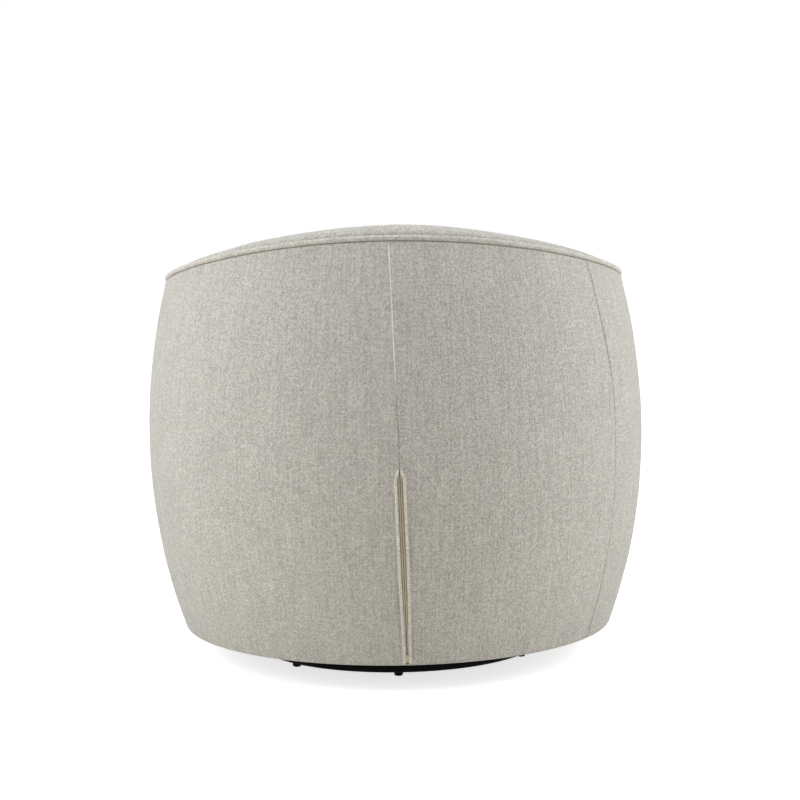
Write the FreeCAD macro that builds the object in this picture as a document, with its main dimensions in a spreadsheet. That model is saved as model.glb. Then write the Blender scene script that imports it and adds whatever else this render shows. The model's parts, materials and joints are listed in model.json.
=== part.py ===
"""Swivel barrel chair: an upholstered tub on a steel ring with a ball bearing.

Millimetres, +Z up. The origin is on the floor, on the swivel axis. The seat opens towards -Y
and the back is at +Y.
"""
import FreeCAD, Part
import Sketcher
import math
import os
import re
from FreeCAD import Placement, Rotation, Vector

# Driving dimensions
SIZES = {
    # the barrel: two arcs that meet, tangent, at its widest
    "outer_radius": 405,
    "belly_height": 350,
    "lower_arc": 900,
    "upper_arc": 1040,
    "hem_drop": 12,
    # the rim line, an arc seen from the side, lowest over the arms
    "rim_arc": 2300,
    "rim_low_forward": 290,
    "rim_low_height": 589,
    "crown": 22,
    "roll_radius": 20,
    # the inside of the tub: a U in plan, wider at the rim and leaning back
    "arm_thickness": 160,
    "rim_flare": 5,
    "back_thickness": 200,
    "back_lean": 57,
    "tub_rise": 151,
    "arm_front": 185,
    "arm_turn": 15,
    # layers of the wall, from the outside
    "cover": 2.5,
    "wadding": 12,
    "outer_board": 3.5,
    "inside_foam": 30.5,
    "liner": 4,
    "rail_drop": 4,
    "rail_board": 22,
    # the welt along the rim and down the arm fronts
    "welt_width": 8,
    "welt_proud": 2.5,
    "welt_depth": 4.5,
    "welt_round": 2.4,
    # seat structure
    "deck_height": 312,
    "deck_pad": 28.5,
    "seat_board": 18,
    "seat_board_width": 190,
    "seat_opening_back": 40,
    "strap_width": 50,
    "strap": 1.5,
    "strap_pitch": 78,
    "strap_grip": 27,
    # floor ring and its glides
    "glide_height": 6.5,
    "glide_radius": 7,
    "glide_edge": 3,
    "stem_radius": 3,
    "stem_length": 12,
    "ring_radius": 240,
    "ring_width": 25,
    "ring_height": 22,
    "ring_corner": 5,
    "tube_height": 19.5,
    "tube_width": 28,
    "tube_wall": 2,
    # ball bearing
    "plate": 2.5,
    "plate_gap": 5,
    "race_margin": 15,
    "plate_margin": 20,
    "upper_plate_corner": 20,
    "race_radius": 60,
    "ball_radius": 4,
    "cage": 1.2,
    "cage_width": 16,
    "running_gap": 0.05,
    "pin_radius": 8,
    "pin_head_radius": 15,
    "pin_head": 4,
    "pin_clearance": 4,
    # swivel board and its bolts
    "board": 20,
    "board_margin": 40,
    "board_bore": 22,
    "bolt_place": 75,
    "bolt_radius": 4,
    "bolt_head_radius": 6.5,
    "bolt_head": 4.5,
    "nut_flange_radius": 11,
    "nut_flange": 1.5,
    "nut_barrel_radius": 5.5,
    "nut_barrel": 10,
    "rail_set": 35,
    "rail_width": 40,
    "rail_height": 40,
    "rail_end": 105,
    "ring_board_width": 125,
    "dust_cover": 1.5,
    "dust_gap": 45,
    "hem_fold_width": 20,
    # posts
    "post_width": 45,
    "post_depth": 40,
    "lower_post_inset": 65,
    "back_post_inset": 70,
    "arm_post_depth": 28,
    "arm_post_length": 42,
    # seams of the outside cover, as angles from the middle of the back
    "left_seam_angle": 100,
    "right_seam_angle": 62,
    "back_seam_tilt": 1.78,
    "back_seam_turn": 1.5,
    # zip in the lower half of the middle seam
    "zip_half_gap": 4.5,
    "tape_half_width": 13,
    "tape": 1,
    "tape_gap": 0.5,
    "coil_half_slit": 0.6,
    "coil_width": 1.6,
    "coil": 3,
    "slider_plate": 1.8,
    "slider_length": 12,
    "slider_gap": 0.3,
    "stop_length": 3,
    # seat cushion
    "cushion_side_gap": 6,
    "cushion_back_gap": 4,
    "cushion_setback": 7,
    "cushion_ear_gap": 4,
    "cushion_peak": 152,
    "cushion_crown_arc": 2000,
    "cushion_crown_centre": 90,
    "cushion_corner": 24,
    "cushion_notch": 8,
    "cushion_welt": 6,
    "cushion_welt_proud": 2.5,
    "cushion_welt_depth": 3,
    "soft_gap": 0.3,
}
BALLS = 16
GLIDE_ANGLES = (0, 60.7, 120, 180, 240, 314.5)
LOWER_POST_ANGLES = (0, 60, 120, 180, 240, 300)
BACK_POST_ANGLES = (-80, -40, 0, 40, 80)

# Heights and places that follow from them
CROSS_BOTTOM = "(glide_height + ring_height)"
CROSS_TOP = f"({CROSS_BOTTOM} + tube_height)"
LOWER_PLATE_TOP = f"({CROSS_TOP} + plate)"
BALL_HEIGHT = f"({LOWER_PLATE_TOP} + plate_gap / 2)"
UPPER_PLATE_BOTTOM = f"({LOWER_PLATE_TOP} + plate_gap)"
FRAME_BOTTOM = f"({UPPER_PLATE_BOTTOM} + plate)"
BOARD_TOP = f"({FRAME_BOTTOM} + board)"
HEM_HEIGHT = f"({FRAME_BOTTOM} - hem_drop)"
DECK_PAD_TOP = "(deck_height - cover)"
DECK_PAD_BOTTOM = f"({DECK_PAD_TOP} - deck_pad)"
SEAT_BOARD_TOP = f"({DECK_PAD_BOTTOM} - 2 * strap)"
SEAT_BOARD_BOTTOM = f"({SEAT_BOARD_TOP} - seat_board)"
SEAT_OPENING = "(outer_radius - seat_board_width)"
SEAT_HALF_WIDTH = "(outer_radius - arm_thickness)"
RIM_HALF_WIDTH = f"({SEAT_HALF_WIDTH} + rim_flare)"
SEAT_BACK = "(outer_radius - back_thickness)"
RIM_BACK = f"({SEAT_BACK} + back_lean)"
TUB_TOP = "(rim_low_height + tub_rise)"
ARM_END = "(arm_front - arm_turn)"
# Beyond the chair on every side, for the solids that cut it
REACH = "(outer_radius + 95)"
MINUS_REACH = f"-{REACH}"
DRUM_LOW = f"({HEM_HEIGHT} / 2)"
DRUM_HIGH = f"({TUB_TOP} + 40)"
WADDING_INSET = "(cover + wadding)"
FRAME_INSET = "(cover + wadding + outer_board)"
LINER_INSET = "(cover + inside_foam)"
TUB_FRAME_INSET = "(cover + inside_foam + liner)"
ARM_PAD_FRONT = "(arm_front - cover)"
ARM_POST_INNER = f"({RIM_HALF_WIDTH} + {TUB_FRAME_INSET})"
LOWER_POST_RADIUS = "(outer_radius - lower_post_inset - post_depth)"
BACK_POST_RADIUS = "(outer_radius - back_post_inset - post_depth)"
RING_BOARD_BORE = "(outer_radius - ring_board_width)"
RAIL_PLACE = "(bolt_place + rail_set)"
RAIL_HALF_LENGTH = "(outer_radius - rail_end)"
BOARD_HALF_SIDE = f"({RAIL_PLACE} + rail_width / 2 + board_margin)"
UPPER_PLATE_HALF = "(bolt_place + plate_margin)"
LOWER_PLATE_RADIUS = "(race_radius + race_margin)"
DUST_BORE = f"({UPPER_PLATE_HALF} + dust_gap)"
RING_MIDDLE = "(ring_radius - ring_width / 2)"
LOWER_ARC_CENTRE = "(outer_radius - lower_arc)"
ZIP_MIDDLE = f"((belly_height + {HEM_HEIGHT}) / 2)"
TAPE_DEPTH = "(cover + tape_gap)"
COIL_OUTER = f"({TAPE_DEPTH} + tape / 2 - coil / 2)"
COIL_INNER = f"({TAPE_DEPTH} + tape / 2 + coil / 2)"
SLIDER_INNER = f"({COIL_INNER} + slider_gap + slider_plate)"
SLIDER_HALF_WIDTH = "(zip_half_gap - slider_gap)"
NECK_HALF_WIDTH = "(coil_half_slit - slider_gap)"
CUSHION_BOTTOM = "(deck_height + soft_gap)"
CUSHION_HALF_WIDTH = f"({SEAT_HALF_WIDTH} - cushion_side_gap)"
CUSHION_BACK = f"({SEAT_BACK} - cushion_back_gap)"
CUSHION_FRONT = "(outer_radius - cushion_setback)"

doc = FreeCAD.newDocument("BarrelChair")
sheet = doc.addObject("Spreadsheet::Sheet", "Sizes")
for row, (alias, number) in enumerate(SIZES.items(), start=1):
    sheet.set(f"A{row}", alias)
    sheet.set(f"B{row}", str(number))
    sheet.setAlias(f"B{row}", alias)
doc.recompute()

subparts = []


def named(formula):
    """The formula with each size read from the sheet."""
    return re.sub(r"[a-z]+(?:_[a-z]+)*", lambda word: f"Sizes.{word[0]}" if word[0] in SIZES else word[0],
                  str(formula))


def value(formula):
    return float(sheet.evalExpression(named(formula)))


def bind(thing, prop, formula):
    thing.setExpression(prop, named(formula))


def keep(thing, label):
    """Counts the object as a sub-part of the chair."""
    thing.Label = label
    subparts.append(thing)
    return thing


# Sketches
def pin_point(sketch, geometry, end, x=None, y=None):
    """Holds one end of a line or arc at the given formulas."""
    for kind, formula in (("DistanceX", x), ("DistanceY", y)):
        if formula is not None:
            held = sketch.addConstraint(Sketcher.Constraint(kind, -1, 1, geometry, end, value(formula)))
            bind(sketch, f"Constraints[{held}]", formula)


def draw_outline(sketch, corners):
    """A closed outline of straight lines through corners given as pairs of formulas."""
    points = [Vector(value(x), value(y), 0) for x, y in corners]
    first = sketch.GeometryCount
    count = len(points)
    for index, point in enumerate(points):
        sketch.addGeometry(Part.LineSegment(point, points[(index + 1) % count]))
    for index, (x, y) in enumerate(corners):
        following = first + (index + 1) % count
        sketch.addConstraint(Sketcher.Constraint("Coincident", first + index, 2, following, 1))
        pin_point(sketch, first + index, 1, x, y)


def draw_circle(sketch, radius, x="0", y="0"):
    centre = Vector(value(x), value(y), 0)
    round_line = sketch.addGeometry(Part.Circle(centre, Vector(0, 0, 1), value(radius)))
    pin_point(sketch, round_line, 3, x, y)
    held = sketch.addConstraint(Sketcher.Constraint("Radius", round_line, value(radius)))
    bind(sketch, f"Constraints[{held}]", radius)


def draw_rectangle(sketch, x_low, x_high, y_low, y_high):
    draw_outline(sketch, [(x_low, y_low), (x_high, y_low), (x_high, y_high), (x_low, y_high)])


def loose_sketch(label, placement=Placement()):
    sketch = doc.addObject("Sketcher::SketchObject", label)
    sketch.Placement = placement
    return sketch


UPRIGHT = Placement(Vector(), Rotation(Vector(1, 0, 0), 90))
SIDEWAYS = Placement(Vector(), Rotation(Vector(1, 1, 1), 120))


# PartDesign bodies
def new_body(label):
    body = doc.addObject("PartDesign::Body", label)
    return keep(body, label)


def body_sketch(body, role, height="0"):
    """A sketch on one of the body's own origin planes, lifted along the plane's normal."""
    plane = next(item for item in body.Origin.OriginFeatures if item.Role == role)
    sketch = body.newObject("Sketcher::SketchObject", f"{body.Label}_sketch")
    sketch.AttachmentSupport = [(plane, "")]
    sketch.MapMode = "FlatFace"
    bind(sketch, "AttachmentOffset.Base.z", height)
    return sketch


def add_pad(body, sketch, length):
    pad = body.newObject("PartDesign::Pad", f"{body.Label}_pad")
    pad.Profile = sketch
    bind(pad, "Length", length)
    doc.recompute()
    return pad


def turned_body(label, corners):
    """A body turned about Z from an outline of radius and height formulas."""
    body = new_body(label)
    sketch = body_sketch(body, "XZ_Plane")
    draw_outline(sketch, corners)
    turned = body.newObject("PartDesign::Revolution", f"{label}_turned")
    turned.Profile = sketch
    turned.ReferenceAxis = (sketch, ["V_Axis"])
    turned.Angle = 360
    doc.recompute()
    return body


def add_race(body):
    """The ball groove of a bearing plate."""
    sketch = body_sketch(body, "XZ_Plane")
    draw_circle(sketch, "ball_radius + running_gap", "race_radius", BALL_HEIGHT)
    groove = body.newObject("PartDesign::Groove", f"{body.Label}_race")
    groove.Profile = sketch
    groove.ReferenceAxis = (sketch, ["V_Axis"])
    groove.Angle = 360
    doc.recompute()


def soften_edges(body, radius, wanted):
    """Rounds the edges of the body's last feature for which wanted(edge) is true."""
    feature = body.Tip
    names = [f"Edge{index}" for index, edge in enumerate(feature.Shape.Edges, start=1) if wanted(edge)]
    fillet = body.newObject("PartDesign::Fillet", f"{body.Label}_rounding")
    fillet.Base = (feature, names)
    bind(fillet, "Radius", radius)
    doc.recompute()


# Part objects: turned, lofted and extruded tools and the booleans between them
def barrel_radius(height, inset):
    belly = value("belly_height")
    arc = value(f"{'lower_arc' if height < belly else 'upper_arc'} - ({inset})")
    return value(f"outer_radius - ({inset})") - arc + math.sqrt(arc ** 2 - (height - belly) ** 2)


def barrel(inset):
    """The barrel as a solid of revolution, drawn in by the inset."""
    sketch = loose_sketch("barrel_profile", UPRIGHT)
    low, belly, high = value(DRUM_LOW), value("belly_height"), value(DRUM_HIGH)
    wide = value(f"outer_radius - ({inset})")

    def arc_between(start, end, arc):
        radius = value(f"{arc} - ({inset})")
        centre = Vector(wide - radius, belly, 0)
        round_line = Part.Circle(centre, Vector(0, 0, 1), radius)
        return Part.ArcOfCircle(round_line, round_line.parameter(start), round_line.parameter(end))

    bottom_edge = Vector(barrel_radius(low, inset), low, 0)
    top_edge = Vector(barrel_radius(high, inset), high, 0)
    lower = sketch.addGeometry(arc_between(bottom_edge, Vector(wide, belly, 0), "lower_arc"))
    upper = sketch.addGeometry(arc_between(Vector(wide, belly, 0), top_edge, "upper_arc"))
    lid = sketch.addGeometry(Part.LineSegment(top_edge, Vector(0, high, 0)))
    axis = sketch.addGeometry(Part.LineSegment(Vector(0, high, 0), Vector(0, low, 0)))
    floor = sketch.addGeometry(Part.LineSegment(Vector(0, low, 0), bottom_edge))
    for first, second in ((lower, upper), (upper, lid), (lid, axis), (axis, floor), (floor, lower)):
        sketch.addConstraint(Sketcher.Constraint("Coincident", first, 2, second, 1))
    pin_point(sketch, lower, 3, LOWER_ARC_CENTRE, "belly_height")
    pin_point(sketch, lower, 1, y=DRUM_LOW)
    pin_point(sketch, lower, 2, y="belly_height")
    pin_point(sketch, upper, 3, y="belly_height")
    pin_point(sketch, upper, 2, y=DRUM_HIGH)
    pin_point(sketch, axis, 1, "0", DRUM_HIGH)
    pin_point(sketch, axis, 2, "0", DRUM_LOW)
    for round_line, arc in ((lower, "lower_arc"), (upper, "upper_arc")):
        radius = f"{arc} - ({inset})"
        held = sketch.addConstraint(Sketcher.Constraint("Radius", round_line, value(radius)))
        bind(sketch, f"Constraints[{held}]", radius)
    solid = doc.addObject("Part::Revolution", "barrel_solid")
    solid.Source = sketch
    solid.Axis = Vector(0, 0, 1)
    solid.Angle = 360
    solid.Solid = True
    return solid


def tub(inset):
    """The hollow of the tub: a U in plan at two heights, joined by flat sides and a leaning back."""
    levels = []
    for height, half_width, back in ((SEAT_BOARD_TOP, SEAT_HALF_WIDTH, SEAT_BACK),
                                     (TUB_TOP, RIM_HALF_WIDTH, RIM_BACK)):
        sketch = loose_sketch("tub_level")
        bind(sketch, "Placement.Base.z", height)
        wide = f"({half_width} + {inset})"
        middle = f"({back} - {half_width})"
        radius = value(wide)
        centre = Vector(0, value(middle), 0)
        corners = [Vector(radius, centre.y, 0), Vector(0, centre.y + radius, 0), Vector(-radius, centre.y, 0),
                   Vector(-radius, -value(REACH), 0), Vector(radius, -value(REACH), 0)]
        round_line = Part.Circle(centre, Vector(0, 0, 1), radius)
        right = sketch.addGeometry(Part.ArcOfCircle(round_line, 0, math.pi / 2))
        left = sketch.addGeometry(Part.ArcOfCircle(round_line, math.pi / 2, math.pi))
        left_side = sketch.addGeometry(Part.LineSegment(corners[2], corners[3]))
        mouth = sketch.addGeometry(Part.LineSegment(corners[3], corners[4]))
        right_side = sketch.addGeometry(Part.LineSegment(corners[4], corners[0]))
        loop = (right, left, left_side, mouth, right_side, right)
        for first, second in zip(loop, loop[1:]):
            sketch.addConstraint(Sketcher.Constraint("Coincident", first, 2, second, 1))
        pin_point(sketch, right, 3, "0", middle)
        pin_point(sketch, right, 1, wide, middle)
        pin_point(sketch, right, 2, x="0")
        pin_point(sketch, left, 3, "0", middle)
        pin_point(sketch, left, 2, y=middle)
        pin_point(sketch, mouth, 1, f"-{wide}", MINUS_REACH)
        pin_point(sketch, mouth, 2, wide, MINUS_REACH)
        levels.append(sketch)
    loft = doc.addObject("Part::Loft", "tub_hollow")
    loft.Sections = levels
    loft.Ruled = True
    loft.Solid = True
    return loft


def below_rim(rise):
    """Everything lower than the rim line, which is moved up by the rise."""
    sketch = loose_sketch("rim_profile", SIDEWAYS)
    radius = value("rim_arc")
    reach = value(REACH)
    centre_height = f"rim_low_height + rim_arc + {rise}"
    centre = Vector(-value("rim_low_forward"), value(centre_height), 0)
    round_line = Part.Circle(centre, Vector(0, 0, 1), radius)

    def rim_point(along):
        return Vector(along, centre.y - math.sqrt(radius ** 2 - (along - centre.x) ** 2), 0)

    front, back = rim_point(-reach), rim_point(reach)
    curve = sketch.addGeometry(
        Part.ArcOfCircle(round_line, round_line.parameter(front), round_line.parameter(back)))
    far_side = sketch.addGeometry(Part.LineSegment(back, Vector(reach, 0, 0)))
    floor = sketch.addGeometry(Part.LineSegment(Vector(reach, 0, 0), Vector(-reach, 0, 0)))
    near_side = sketch.addGeometry(Part.LineSegment(Vector(-reach, 0, 0), front))
    loop = (curve, far_side, floor, near_side, curve)
    for first, second in zip(loop, loop[1:]):
        sketch.addConstraint(Sketcher.Constraint("Coincident", first, 2, second, 1))
    pin_point(sketch, curve, 3, "-rim_low_forward", centre_height)
    held = sketch.addConstraint(Sketcher.Constraint("Radius", curve, radius))
    bind(sketch, f"Constraints[{held}]", "rim_arc")
    pin_point(sketch, curve, 1, x=MINUS_REACH)
    pin_point(sketch, curve, 2, x=REACH)
    pin_point(sketch, floor, 1, REACH, "0")
    pin_point(sketch, floor, 2, MINUS_REACH, "0")
    solid = doc.addObject("Part::Extrusion", "under_rim")
    solid.Base = sketch
    solid.DirMode = "Normal"
    solid.Symmetric = True
    solid.Solid = True
    bind(solid, "LengthFwd", f"2 * {REACH}")
    return solid


def block(x_low, x_high, y_low, y_high, z_low, z_high, label="block"):
    box = doc.addObject("Part::Box", label)
    for axis, side, low, high in (("x", "Length", x_low, x_high), ("y", "Width", y_low, y_high),
                                  ("z", "Height", z_low, z_high)):
        bind(box, f"Placement.Base.{axis}", low)
        bind(box, side, f"({high}) - ({low})")
    return box


def layer(low, high):
    """Everything between two heights."""
    return block(MINUS_REACH, REACH, MINUS_REACH, REACH, low, high, "layer")


def rod(radius, low, high, y="0", label="rod"):
    cylinder = doc.addObject("Part::Cylinder", label)
    bind(cylinder, "Radius", radius)
    bind(cylinder, "Height", f"({high}) - ({low})")
    bind(cylinder, "Placement.Base.y", y)
    bind(cylinder, "Placement.Base.z", low)
    return cylinder


def cut(base, *tools, label="remainder"):
    for tool in tools:
        result = doc.addObject("Part::Cut", label)
        result.Base = base
        result.Tool = tool
        base = result
    return base


def common(*shapes, label="shared"):
    result = doc.addObject("Part::MultiCommon", label)
    result.Shapes = list(shapes)
    return result


def fuse(*shapes, label="joined"):
    result = doc.addObject("Part::MultiFuse", label)
    result.Shapes = list(shapes)
    return result


def group(label, solids):
    result = doc.addObject("Part::Compound", label)
    result.Links = solids
    return keep(result, label)


def copies(label, source, placements):
    """The same solid at several places, as one sub-part."""
    doc.recompute()
    solids = []
    for index, place in enumerate(placements, start=1):
        solid = doc.addObject("Part::Feature", f"{label}_{index}")
        solid.Shape = source.Shape.copy()
        solid.Placement = place.multiply(source.Placement)
        solids.append(solid)
    return group(label, solids)


def from_back(angle):
    """A turn about Z, by an angle from the middle of the back towards -X."""
    return Placement(Vector(), Rotation(Vector(0, 0, 1), angle))


def tilted():
    """The lean of the middle seam of the back, and its turn towards -X half way up the zip."""
    pivot = Vector(0, 0, value(ZIP_MIDDLE))
    lean = Placement(Vector(), Rotation(Vector(0, 1, 0), value("back_seam_tilt")), pivot)
    return from_back(value("back_seam_turn")).multiply(lean)


# The floor ring with its cross tubes and glides
def make_base():
    ring = new_body("base_ring")
    sketch = body_sketch(ring, "XZ_Plane")
    draw_rectangle(sketch, "ring_radius - ring_width", "ring_radius", "glide_height", CROSS_BOTTOM)
    turned = ring.newObject("PartDesign::Revolution", "base_ring_turned")
    turned.Profile = sketch
    turned.ReferenceAxis = (sketch, ["V_Axis"])
    turned.Angle = 360
    doc.recompute()
    soften_edges(ring, "ring_corner", lambda edge: len(edge.Vertexes) == 1 and edge.Length > 100)
    holes = ring.newObject("Sketcher::SketchObject", "stem_holes")
    plane = next(item for item in ring.Origin.OriginFeatures if item.Role == "XY_Plane")
    holes.AttachmentSupport = [(plane, "")]
    holes.MapMode = "FlatFace"
    bind(holes, "AttachmentOffset.Base.z", "glide_height")
    for angle in GLIDE_ANGLES:
        draw_circle(holes, "stem_radius", f"-{RING_MIDDLE} * sin({angle} * 1 deg)",
                    f"{RING_MIDDLE} * cos({angle} * 1 deg)")
    pocket = ring.newObject("PartDesign::Pocket", "stem_pockets")
    pocket.Profile = holes
    pocket.Reversed = True
    bind(pocket, "Length", "stem_length")
    doc.recompute()

    along = block(f"-{RING_MIDDLE}", RING_MIDDLE, "-tube_width / 2", "tube_width / 2", CROSS_BOTTOM, CROSS_TOP)
    across = block("-tube_width / 2", "tube_width / 2", f"-{RING_MIDDLE}", RING_MIDDLE, CROSS_BOTTOM, CROSS_TOP)
    inner_half = "(tube_width / 2 - tube_wall)"
    inside_low = f"{CROSS_BOTTOM} + tube_wall"
    inside_high = f"{CROSS_TOP} - tube_wall"
    hollow_along = block(f"-{RING_MIDDLE}", RING_MIDDLE, f"-{inner_half}", inner_half, inside_low, inside_high)
    hollow_across = block(f"-{inner_half}", inner_half, f"-{RING_MIDDLE}", RING_MIDDLE, inside_low, inside_high)
    cross = cut(fuse(along, across), fuse(hollow_along, hollow_across),
                rod("pin_head_radius + pin_clearance", CROSS_BOTTOM, CROSS_TOP))
    cross.Placement = from_back(45)
    keep(cross, "cross_tubes")

    glide = doc.addObject("PartDesign::Body", "glide")
    sketch = body_sketch(glide, "XZ_Plane")
    draw_outline(sketch, [("0", "0"), ("glide_radius", "0"), ("glide_radius", "glide_height"),
                          ("stem_radius", "glide_height"), ("stem_radius", "glide_height + stem_length"),
                          ("0", "glide_height + stem_length")])
    turned = glide.newObject("PartDesign::Revolution", "glide_turned")
    turned.Profile = sketch
    turned.ReferenceAxis = (sketch, ["V_Axis"])
    turned.Angle = 360
    doc.recompute()
    soften_edges(glide, "glide_edge",
                 lambda edge: edge.BoundBox.ZMax < 1e-3 and edge.BoundBox.XLength > value("glide_radius"))
    out = Placement(Vector(0, value(RING_MIDDLE), 0), Rotation())
    copies("glides", glide, [from_back(angle).multiply(out) for angle in GLIDE_ANGLES])


# The bearing between base and chair
def make_bearing():
    lower = turned_body("lower_bearing_plate", [
        ("pin_radius", CROSS_TOP), (LOWER_PLATE_RADIUS, CROSS_TOP),
        (LOWER_PLATE_RADIUS, LOWER_PLATE_TOP), ("pin_radius", LOWER_PLATE_TOP)])
    add_race(lower)

    upper = new_body("upper_bearing_plate")
    sketch = body_sketch(upper, "XY_Plane", UPPER_PLATE_BOTTOM)
    draw_rectangle(sketch, f"-{UPPER_PLATE_HALF}", UPPER_PLATE_HALF, f"-{UPPER_PLATE_HALF}", UPPER_PLATE_HALF)
    draw_circle(sketch, "pin_radius + running_gap")
    for side in ("bolt_place", "-bolt_place"):
        for end in ("bolt_place", "-bolt_place"):
            draw_circle(sketch, "bolt_radius", side, end)
    add_pad(upper, sketch, "plate")
    corner = value(UPPER_PLATE_HALF)
    soften_edges(upper, "upper_plate_corner",
                 lambda edge: abs(abs(edge.CenterOfMass.x) - corner) < 1e-3
                 and abs(abs(edge.CenterOfMass.y) - corner) < 1e-3)
    add_race(upper)

    head_top = f"{FRAME_BOTTOM} + soft_gap + pin_head"
    turned_body("kingpin", [
        ("0", f"{CROSS_TOP} - pin_head"), ("pin_head_radius", f"{CROSS_TOP} - pin_head"),
        ("pin_head_radius", CROSS_TOP), ("pin_radius", CROSS_TOP),
        ("pin_radius", f"{FRAME_BOTTOM} + soft_gap"), ("pin_head_radius", f"{FRAME_BOTTOM} + soft_gap"),
        ("pin_head_radius", head_top), ("0", head_top)])

    cage = new_body("ball_cage")
    sketch = body_sketch(cage, "XY_Plane", f"{BALL_HEIGHT} - cage / 2")
    draw_circle(sketch, "race_radius - cage_width / 2")
    draw_circle(sketch, "race_radius + cage_width / 2")
    add_pad(cage, sketch, "cage")
    pocket_sketch = body_sketch(cage, "XY_Plane", f"{BALL_HEIGHT} - cage / 2")
    draw_circle(pocket_sketch, "ball_radius + running_gap", "race_radius")
    pocket = cage.newObject("PartDesign::Pocket", "ball_pocket")
    pocket.Profile = pocket_sketch
    pocket.Reversed = True
    bind(pocket, "Length", "cage")
    doc.recompute()
    pattern = cage.newObject("PartDesign::PolarPattern", "ball_pockets")
    pattern.Originals = [pocket]
    pattern.Axis = (pocket_sketch, ["N_Axis"])
    pattern.Angle = 360
    pattern.Occurrences = BALLS
    cage.Tip = pattern
    doc.recompute()

    ball = doc.addObject("Part::Sphere", "ball")
    bind(ball, "Radius", "ball_radius")
    bind(ball, "Placement.Base.x", "race_radius")
    bind(ball, "Placement.Base.z", BALL_HEIGHT)
    copies("bearing_balls", ball, [from_back(360 / BALLS * step) for step in range(BALLS)])


# The board that carries the bearing, and the rails and rings of the frame
def make_frame(barrels, tubs, rims):
    swivel_board = new_body("swivel_board")
    sketch = body_sketch(swivel_board, "XY_Plane", FRAME_BOTTOM)
    draw_rectangle(sketch, f"-{BOARD_HALF_SIDE}", BOARD_HALF_SIDE, f"-{BOARD_HALF_SIDE}", BOARD_HALF_SIDE)
    draw_circle(sketch, "board_bore")
    for side in ("bolt_place", "-bolt_place"):
        for end in ("bolt_place", "-bolt_place"):
            draw_circle(sketch, "nut_barrel_radius", side, end)
    add_pad(swivel_board, sketch, "board")

    bolt_top = f"{BOARD_TOP} + nut_flange"
    bolt = doc.addObject("PartDesign::Body", "bolt")
    sketch = body_sketch(bolt, "XZ_Plane")
    draw_outline(sketch, [
        ("0", f"{UPPER_PLATE_BOTTOM} - bolt_head"), ("bolt_head_radius", f"{UPPER_PLATE_BOTTOM} - bolt_head"),
        ("bolt_head_radius", UPPER_PLATE_BOTTOM), ("bolt_radius", UPPER_PLATE_BOTTOM),
        ("bolt_radius", bolt_top), ("0", bolt_top)])
    nut = doc.addObject("PartDesign::Body", "nut")
    nut_sketch = body_sketch(nut, "XZ_Plane")
    draw_outline(nut_sketch, [
        ("bolt_radius", f"{BOARD_TOP} - nut_barrel"), ("nut_barrel_radius", f"{BOARD_TOP} - nut_barrel"),
        ("nut_barrel_radius", BOARD_TOP), ("nut_flange_radius", BOARD_TOP),
        ("nut_flange_radius", bolt_top), ("bolt_radius", bolt_top)])
    for body, profile in ((bolt, sketch), (nut, nut_sketch)):
        turned = body.newObject("PartDesign::Revolution", f"{body.Label}_turned")
        turned.Profile = profile
        turned.ReferenceAxis = (profile, ["V_Axis"])
        turned.Angle = 360
    place = value("bolt_place")
    corners = [Placement(Vector(x, y, 0), Rotation()) for x in (place, -place) for y in (place, -place)]
    copies("mounting_bolts", bolt, corners)
    copies("tee_nuts", nut, corners)

    rails = []
    for side in (1, -1):
        middle = f"({side} * {RAIL_PLACE})"
        rails.append(block(f"{middle} - rail_width / 2", f"{middle} + rail_width / 2", f"-{RAIL_HALF_LENGTH}",
                           RAIL_HALF_LENGTH, BOARD_TOP, f"{BOARD_TOP} + rail_height", "rail"))
    group("bottom_rails", rails)

    inside = barrels["frame"]
    bottom_ring = cut(common(inside, layer(FRAME_BOTTOM, BOARD_TOP)),
                      rod(RING_BOARD_BORE, FRAME_BOTTOM, BOARD_TOP))
    keep(bottom_ring, "bottom_ring_board")
    seat_ring = cut(common(inside, layer(SEAT_BOARD_BOTTOM, SEAT_BOARD_TOP)),
                    rod(SEAT_OPENING, SEAT_BOARD_BOTTOM, SEAT_BOARD_TOP, "-seat_opening_back"))
    keep(seat_ring, "seat_ring_board")

    post = block("-post_width / 2", "post_width / 2", LOWER_POST_RADIUS, f"{LOWER_POST_RADIUS} + post_depth",
                 BOARD_TOP, SEAT_BOARD_BOTTOM, "lower_post")
    copies("lower_posts", post, [from_back(angle) for angle in LOWER_POST_ANGLES])

    tall_post = block("-post_width / 2", "post_width / 2", BACK_POST_RADIUS, f"{BACK_POST_RADIUS} + post_depth",
                      SEAT_BOARD_TOP, TUB_TOP, "tall_post")
    doc.recompute()
    tall_posts = []
    for angle in BACK_POST_ANGLES:
        turned = doc.addObject("Part::Feature", "turned_post")
        turned.Shape = tall_post.Shape.copy()
        turned.Placement = from_back(angle).multiply(tall_post.Placement)
        tall_posts.append(common(turned, rims["rail_bottom"]))
    group("back_posts", tall_posts)
    arm_posts = []
    for side in (1, -1):
        middle = f"({side} * ({ARM_POST_INNER} + arm_post_depth / 2))"
        arm_posts.append(common(block(f"{middle} - arm_post_depth / 2", f"{middle} + arm_post_depth / 2",
                                      f"-{ARM_END}", f"arm_post_length - {ARM_END}", SEAT_BOARD_TOP, TUB_TOP),
                                rims["rail_bottom"], inside))
    group("arm_posts", arm_posts)


def placed(source, placement):
    """A copy of the solid, moved."""
    doc.recompute()
    moved = doc.addObject("Part::Feature", "moved")
    moved.Shape = source.Shape.copy()
    moved.Placement = placement.multiply(source.Placement)
    return moved


def sector(start, end):
    """The part of the chair between two angles, counted from +X towards +Y."""
    wedge = doc.addObject("Part::Cylinder", "sector")
    bind(wedge, "Radius", REACH)
    bind(wedge, "Height", DRUM_HIGH)
    wedge.Angle = end - start
    wedge.Placement = from_back(start)
    return wedge


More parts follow.
